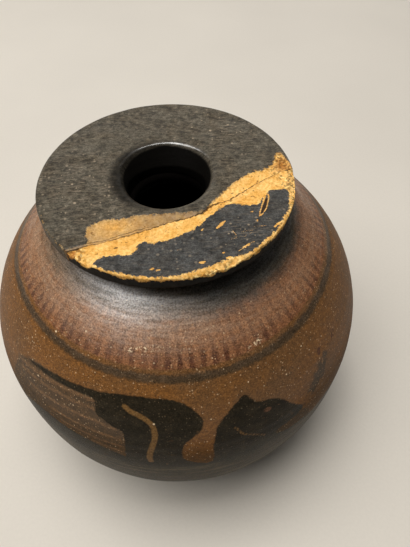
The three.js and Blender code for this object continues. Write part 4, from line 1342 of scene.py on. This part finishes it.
    def lute_neck(self, form, colours):
        """The hollow fillet of slip round the foot of the neck."""
        spread = 3.4
        rise = 2.2
        steps = 10
        inner = form.neck_radius - 0.3
        hollow = [(form.neck_radius + spread * (1 - math.sin(a)), rise * (1 - math.cos(a)))
                  for a in np.radians(np.linspace(0, 90, steps))]
        profile = [(radius, form.equator + float(form.crown(max(radius, form.seat_radius))) + lift - 0.06)
                   for radius, lift in hollow]
        profile += [(inner, profile[-1][1]), (inner, form.seat - 0.6)]
        profile += [(form.neck_radius + spread, profile[0][1] - 0.6)]
        rows = np.array([(radius, 0, height) for radius, height in profile + profile[:1]])
        ring = new_piece("neck_slip", rows, [])
        run_tree(ring, wheel_tree(), {"Turn steps": form.turn_steps // 2, "Finish": handle_slip(colours)})
        place_points(ring, places_of(ring) + [form.mouth_shift, 0, 0])
        finish_piece(ring, "dark_slip", "neck_luting")


class SetSherd(bpy.types.Operator):
    """Chips the sherd of the rim and sets it back with adhesive"""
    bl_idname = "flask.set_sherd"
    bl_label = "Set the sherd"

    columns = 520

    def execute(self, context):
        form = Form(context.scene.flask_sizes)
        colours = context.scene.flask_colours
        first, last = self.tips(form)
        angles = np.linspace(first, last, self.columns)
        inner = form.break_radius(angles) - form.break_gap / 2
        inner = inner + form.break_gap
        one = np.ones(self.columns)
        nick = 0.18 * np.abs(ripple(np.stack([angles * 30, angles * 0], axis=1), 1.6, 51))
        outer = form.disc_radius - nick * 0.6 * one
        width = outer - inner
        edge = np.minimum(0.18, width * 0.3)
        lower = np.minimum(form.edge_round, width * 0.3)
        rows = []

        def row(radius, height, kind):
            rows.append((radius * one, height * one, kind))

        seam = np.minimum(0.06, width * 0.2)
        for radius in section_rows(inner + seam, outer - edge, np.linspace(0, 1, 60)):
            row(radius, form.disc_top, 1)
        for angle in quarter(3, 90, 0):
            row(outer - edge + edge * math.cos(angle), form.disc_top - edge + edge * math.sin(angle), 2)
        low = form.rim_underside + lower
        for share in np.linspace(0, 1, 12)[1:-1]:
            row(outer, form.disc_top - edge + (low - form.disc_top + edge) * share, 3)
        for angle in quarter(4, 0, -90):
            row(outer - lower + lower * math.cos(angle), low + lower * math.sin(angle), 3)
        slope = (form.rim_underside - form.root_underside) / (form.disc_radius - form.neck_radius)
        for radius in section_rows(outer - lower, inner, np.linspace(0, 1, 14)[1:]):
            row(radius, form.rim_underside - slope * (form.disc_radius - radius), 4)
        for share in np.linspace(0, 1, 8)[1:-1]:
            height = form.rim_underside + (form.disc_top - 0.05 - form.rim_underside) * share
            row(inner, height, 5)

        radii = np.array([radius for radius, _, _ in rows])
        heights = np.array([height for _, height, _ in rows])
        kinds = np.repeat([kind for _, _, kind in rows], self.columns)
        points = np.stack([radii * np.cos(angles), radii * np.sin(angles), heights], axis=-1).reshape(-1, 3)
        plan = points[:, :2].copy()
        slip_left = depth_inside(plan, rounded(SHERD_SLIP, 1))
        bare = -slip_left + 0.14 * ripple(plan, 1.2, 61)
        radius = np.hypot(*plan.T)
        below = form.disc_top - points[:, 2]
        from_break = radius - np.tile(inner, len(rows))
        chipped = smooth(bare, 0.0, 1.6) * smooth(radius, form.disc_radius - 4.5, form.disc_radius - 0.3)
        chip = form.chip_depth * chipped * np.clip(0.75 + 0.35 * ripple(plan, 2.0, 71), 0.25, 1.2)
        spall = flaked(points, bare, form, 81) * smooth(form.disc_radius - radius, 0.5, 3.5)
        spall = spall * (1 - 0.6 * smooth(from_break, 1.2, 0.0))
        deep = np.maximum(spall, chip)
        fade = np.where(kinds == 3, np.clip(1 - below / 3.0, 0, 1), 1.0)
        fade = np.where(kinds >= 4, 0.0, fade)
        points[:, 2] -= deep * fade
        points[:, 2] += np.where(kinds == 1, disc_relief(points, form, 91) * 0.6, 0)
        drop = form.disc_top - points[:, 2]
        side = np.where(kinds == 3, 0.55 - (drop - chip) + 0.35 * ripple(points, 1.6, 95), bare)
        side = np.where(kinds == 4, -5, side)
        side = np.where(kinds == 5, 5, side)
        points[:, 0] += form.mouth_shift
        caps = [list(range(0, len(rows) * self.columns, self.columns))[::-1],
                list(range(self.columns - 1, len(rows) * self.columns, self.columns))]
        faces = ring_faces(len(rows), self.columns, True, False) + caps
        sherd = new_piece("rim_sherd_chipped", points, faces)
        marks = depth_in_spots(plan, SHERD_SPOTS)
        for scratch in SHERD_SCRATCHES:
            marks = np.maximum(marks, 0.02 - distance_to(plan, scratch, False))
        leaf = depth_inside(plan, rounded(LEAF_SCAR, 1))
        marks = np.maximum(marks, 0.13 - abs(leaf))
        face_marks = np.where(kinds == 1, np.maximum(marks + 0.1, -5), -5)
        bare_all = np.where(face_marks > 0.0, np.maximum(side, face_marks + 0.3), side)
        set_values(sherd, "bare", np.clip(bare_all, -9, 9))
        corner = 1.5 * smooth(plan[:, 0], -20.5, -23.5)
        rust = np.maximum(corner, 0.85 * smooth(leaf, -0.1, 0.25) * (kinds == 1))
        rust = np.maximum(rust, 0.55 * (kinds == 3) * smooth(plan[:, 0], 8, -2))
        set_values(sherd, "rusty", rust)
        set_values(sherd, "golden", np.ones(len(points)))
        pits = depth_in_spots(plan, SHERD_PITS)
        hollow_leaf = np.minimum(leaf - 0.12, (-10.5 - plan[:, 1]) * 0.3)
        set_values(sherd, "pit", np.where(kinds == 1, np.maximum(pits, hollow_leaf), -1))
        ragged = 0.7 * np.exp(-(bare / 0.4) ** 2)
        tips = np.maximum(smooth(plan[:, 0], 28, 30.5), smooth(plan[:, 0], -19, -21.5))
        crumbly = 1 - 0.65 * smooth(plan[:, 0], 4, 0)
        rim_crumbs = np.maximum.reduce([chipped, 0.8 * (kinds == 2), 0.8 * (kinds == 3)]) * crumbly
        crumbs = np.maximum.reduce([ragged, tips, rim_crumbs])
        set_values(sherd, "crumbs", np.clip(crumbs, 0, 1) * (slip_left < 0.6))
        net = np.exp(-((plan[:, 0] - 17) / 4.5) ** 2 - ((plan[:, 1] + 21) / 3.5) ** 2)
        set_values(sherd, "scuffed", np.clip(0.15 + 0.75 * net, 0, 1))
        set_values(sherd, "veil", np.where((kinds == 1) & (slip_left > 0.6), 0.15, 0.0))
        # The sherd's rim side, underside and broken face are painted dark: painted shade.
        set_values(sherd, "lip", np.where(kinds >= 3, 0.6, 0.0))
        set_values(sherd, "seam", np.where(kinds == 1, from_break * 0.8, 9))
        sherd.data.materials.append(disc_slip("Sherd slip", colours.sherd, form, colours, 1.0))
        finish_piece(sherd, "sherd_slip", "rim_sherd")
        self.fill_break(form, colours, angles)
        return {"FINISHED"}

    def tips(self, form):
        """First and last angle at which the break lies inside the rim."""
        angles = np.radians(np.linspace(-150, 15, 6600))
        inside = angles[form.break_radius(angles) < form.disc_radius - 0.35]
        return inside.min(), inside.max()

    def fill_break(self, form, colours, angles):
        """The thin film of adhesive between sherd and disc, below the flaked edges."""
        middle = form.break_radius(angles) + form.break_gap / 2
        half = form.film_width / 2
        high = form.disc_top - form.spall_depth - 0.25
        low = form.rim_underside + 0.3
        rows = [(middle - half, low), (middle + half, low), (middle + half, high), (middle - half, high)]
        points = np.concatenate([np.stack(
            [radius * np.cos(angles) + form.mouth_shift, radius * np.sin(angles), height + 0 * angles], axis=1)
            for radius, height in rows])
        count = len(angles)
        caps = [[0, count, 2 * count, 3 * count], [4 * count - 1, 3 * count - 1, 2 * count - 1, count - 1]]
        film = new_piece("adhesive_film", points, ring_faces(4, count, True, False) + caps)
        film.data.materials.append(adhesive_finish(colours))
        finish_piece(film, "adhesive", "mending_film")


class PullHandle(bpy.types.Operator):
    """Pulls the strap handle and lutes it under the disc and on the shoulder"""
    bl_idname = "flask.pull_handle"
    bl_label = "Pull the handle"

    steps = 72

    def path(self, form):
        """Points along the strap from under the disc to the shoulder, and the share of the way."""
        foot_level = form.equator + float(form.crown(form.foot_reach)) - 1.2
        level = form.strap_level
        corners = np.array([
            (form.disc_radius - form.strap_lap, level), (form.disc_radius + form.strap_reach, level),
            (form.foot_reach + form.strap_bow, level - form.strap_drop), (form.foot_reach, foot_level)])
        share = np.linspace(0, 1, self.steps + 1)[:, None]
        line = ((1 - share) ** 3 * corners[0] + 3 * share * (1 - share) ** 2 * corners[1]
                + 3 * share ** 2 * (1 - share) * corners[2] + share ** 3 * corners[3])
        return np.stack([np.zeros(len(line)), line[:, 0], line[:, 1]], axis=1), share[:, 0]

    def strap(self, name, points, breadth, half_width, half_thickness, finish):
        """A strap pulled along points by the geometry tree."""
        mesh = bpy.data.meshes.new(name)
        edges = [(k, k + 1) for k in range(len(points) - 1)]
        mesh.from_pydata((points * MM).tolist(), edges, [])
        piece = bpy.data.objects.new(name, mesh)
        bpy.context.scene.collection.objects.link(piece)
        set_values(piece, "breadth", breadth)
        run_tree(piece, strap_tree(), {
            "Half width": half_width * MM, "Half thickness": half_thickness * MM, "Section steps": 56,
            "Finish": finish})
        return piece

    def execute(self, context):
        form = Form(context.scene.flask_sizes)
        finish = handle_slip(context.scene.flask_colours)
        points, share = self.path(form)
        breadth = (1 - form.waist_share * np.sin(math.pi * share)) * (1 + form.flare_share * share ** 4)
        half = form.strap_width / 2
        handle = self.strap("strap_handle_pulled", points, breadth, half, form.strap_thickness / 2, finish)
        places = places_of(handle)
        uneven = 0.12 * ripple(places, 9, 101) + 0.04 * ripple(places, 2.5, 102)
        ridge = 0.22 * np.cos(places[:, 0] / half * 2.5 * math.pi) * (places[:, 1] > form.disc_radius)
        away = places[:, 1] > form.disc_radius + 1
        places[:, 2] += np.where(away, uneven + ridge * 0.5, 0)
        place_points(handle, places)
        finish_piece(handle, "dark_slip", "strap_handle")

        foot = points[share > 0.86]
        spread = 1.04 + 0.16 * smooth(share[share > 0.86], 0.9, 1.0)
        swell = breadth[share > 0.86] * spread
        slip = self.strap("handle_foot_slip", foot, swell, half, form.strap_thickness / 2 + 0.5, finish)
        finish_piece(slip, "dark_slip", "handle_foot_luting")

        top = form.rim_underside + 0.1
        line = np.array([(0, form.disc_radius - form.strap_lap - 0.4 + 0.2 * k, 0) for k in range(22)])
        line[:, 2] = (top + form.strap_level + form.strap_thickness / 2) / 2 - 0.1
        line = line[line[:, 1] < form.disc_radius - 1.2]
        high = (top - line[0, 2]) + 0.15
        grown = 1 - 0.12 * smooth(line[:, 1], form.disc_radius - 2.4, form.disc_radius - 1)
        pad = self.strap("handle_rim_slip", line, grown, half * 0.98, high, finish)
        finish_piece(pad, "dark_slip", "handle_rim_luting")
        return {"FINISHED"}


class ScatterGrit(bpy.types.Operator):
    """Scatters grains of mica over the bare clay of the globe"""
    bl_idname = "flask.scatter_grit"
    bl_label = "Scatter the grit"

    def execute(self, context):
        form = Form(context.scene.flask_sizes)
        globe = bpy.data.objects.get("painted_globe")
        if globe is None:
            raise RuntimeError("The globe has to be thrown before its grit is scattered")
        grit = bpy.data.objects.new("mica_grit", globe.data.copy())
        context.scene.collection.objects.link(grit)
        places = places_of(grit)
        level = places[:, 2] - form.equator
        figure = np.zeros(len(places))
        globe.data.attributes["figure"].data.foreach_get("value", figure)
        inside = np.zeros(len(places))
        globe.data.attributes["hollow"].data.foreach_get("value", inside)
        clay = smooth(level, 0, 5) * (1 - smooth(level, 40, 45)) * (1 - 0.93 * (figure > 0)) * (inside < 0.5)
        set_values(grit, "gritty", clay + 0.06 * (inside < 0.5) * (level > 40))
        area = 2 * math.pi * form.globe_radius * form.crown_height * MM * MM
        run_tree(grit, grit_tree(), {
            "Density": form.grit_count / area, "Grain": 0.16 * MM, "Seed": 7,
            "Finish": mica_finish(context.scene.flask_colours)})
        finish_piece(grit, "painted_clay")
        return {"FINISHED"}


class SetStage(bpy.types.Operator):
    """Lays the floor, sets the lamps and places the camera"""
    bl_idname = "flask.set_stage"
    bl_label = "Set the stage"

    def execute(self, context):
        colours = context.scene.flask_colours
        half = 3000
        corners = [(-half, -half, -0.05), (half, -half, -0.05), (half, half, -0.05), (-half, half, -0.05)]
        mesh = bpy.data.meshes.new("floor")
        mesh.from_pydata((np.array(corners) * MM).tolist(), [], [(0, 1, 2, 3)])
        floor = bpy.data.objects.new("floor", mesh)
        context.scene.collection.objects.link(floor)
        floor.data.materials.append(paper_finish(colours))
        self.lamp("Window light", (-0.5, -0.33, 0.80), 0.9, 0.4, 0.07)
        self.lamp("Main light", (-0.37, -0.06, 0.93), 0.9, 0.65, 0.68)
        self.lamp("Ceiling light", (0.0, 0.06, 0.995), 1.0, 0.45, 0.46)
        self.lamp("Back fill, left", (-0.3, 0.9, 0.3), 0.9, 0.6, 0.15)
        self.lamp("Back fill, right", (0.4, 0.85, 0.35), 0.9, 0.6, 0.12)
        self.room_light(colours)
        self.place_camera(context)
        context.scene.view_settings.view_transform = "Standard"
        return {"FINISHED"}

    def lamp(self, name, way, distance, size, level):
        """A square lamp that lights what faces it to a share of full white."""
        data = bpy.data.lights.new(name, "AREA")
        data.shape = "SQUARE"
        data.size = size
        data.energy = level * (math.pi * distance) ** 2
        data.color = (1.0, 0.985, 0.96)
        lamp = bpy.data.objects.new(name, data)
        way = Vector(way).normalized()
        lamp.location = Vector((0, 0, 0.06)) + way * distance
        lamp.rotation_mode = "QUATERNION"
        lamp.rotation_quaternion = (-way).to_track_quat("-Z", "Y")
        bpy.context.scene.collection.objects.link(lamp)

    def room_light(self, colours):
        """Even light from the room, paler where the camera sees it or a ray passes through glass."""
        world = bpy.data.worlds.new("Room")
        world.use_nodes = True
        world.node_tree.nodes.clear()
        wires = Wires(world.node_tree)
        paths = wires.add("ShaderNodeLightPath")
        seen = wires.math("MAXIMUM", paths.outputs["Is Camera Ray"], paths.outputs["Is Transmission Ray"])
        strength = wires.spread(seen, 0, 1, 0.045, 0.8)
        room = wires.add("ShaderNodeBackground", {"Color": colours.sky, "Strength": strength})
        surface = wires.add("ShaderNodeOutputWorld")
        wires.join(room.outputs[0], surface.inputs["Surface"])
        bpy.context.scene.world = world

    def place_camera(self, context):
        """The camera where the photograph was taken from."""
        yaw, pitch, roll = 0.091, 0.9051, -0.008
        ahead = Vector((math.sin(yaw) * math.cos(pitch), math.cos(yaw) * math.cos(pitch), -math.sin(pitch)))
        right = Vector((math.cos(yaw), -math.sin(yaw), 0))
        up = right.cross(ahead)
        turned = right * math.cos(roll) + up * math.sin(roll)
        upright = up * math.cos(roll) - right * math.sin(roll)
        data = bpy.data.cameras.new("Camera")
        data.sensor_width = 36
        data.lens = 32.353
        data.clip_start = 0.01
        data.clip_end = 20
        camera = bpy.data.objects.new("Camera", data)
        camera.matrix_world = Matrix((
            (turned.x, upright.x, -ahead.x, 0), (turned.y, upright.y, -ahead.y, -0.09985),
            (turned.z, upright.z, -ahead.z, 0.19122), (0, 0, 0, 1)))
        context.scene.collection.objects.link(camera)
        context.scene.camera = camera


STEPS = (SetStage, ThrowGlobe, SetMouth, SetSherd, PullHandle, ScatterGrit)


class FlaskPanel(bpy.types.Panel):
    """Lists the steps and the sizes of the flask"""
    bl_idname = "VIEW3D_PT_flask"
    bl_label = "Painted oil flask"
    bl_space_type = "VIEW_3D"
    bl_region_type = "UI"
    bl_category = "Flask"

    def draw(self, context):
        for step in STEPS:
            self.layout.operator(step.bl_idname)
        for group in (context.scene.flask_sizes, context.scene.flask_colours):
            box = self.layout.box()
            for name in type(group).__annotations__:
                box.prop(group, name)


CLASSES = (FlaskSizes, FlaskColours, *STEPS, FlaskPanel)


def register():
    for made in CLASSES:
        bpy.utils.register_class(made)
    bpy.types.Scene.flask_sizes = PointerProperty(type=FlaskSizes)
    bpy.types.Scene.flask_colours = PointerProperty(type=FlaskColours)


def unregister():
    del bpy.types.Scene.flask_colours
    del bpy.types.Scene.flask_sizes
    for made in reversed(CLASSES):
        bpy.utils.unregister_class(made)


def main():
    register()
    bpy.ops.flask.set_stage()
    bpy.ops.flask.throw_globe()
    bpy.ops.flask.set_mouth()
    bpy.ops.flask.set_sherd()
    bpy.ops.flask.pull_handle()
    bpy.ops.flask.scatter_grit()


if __name__ == "__main__":
    main()
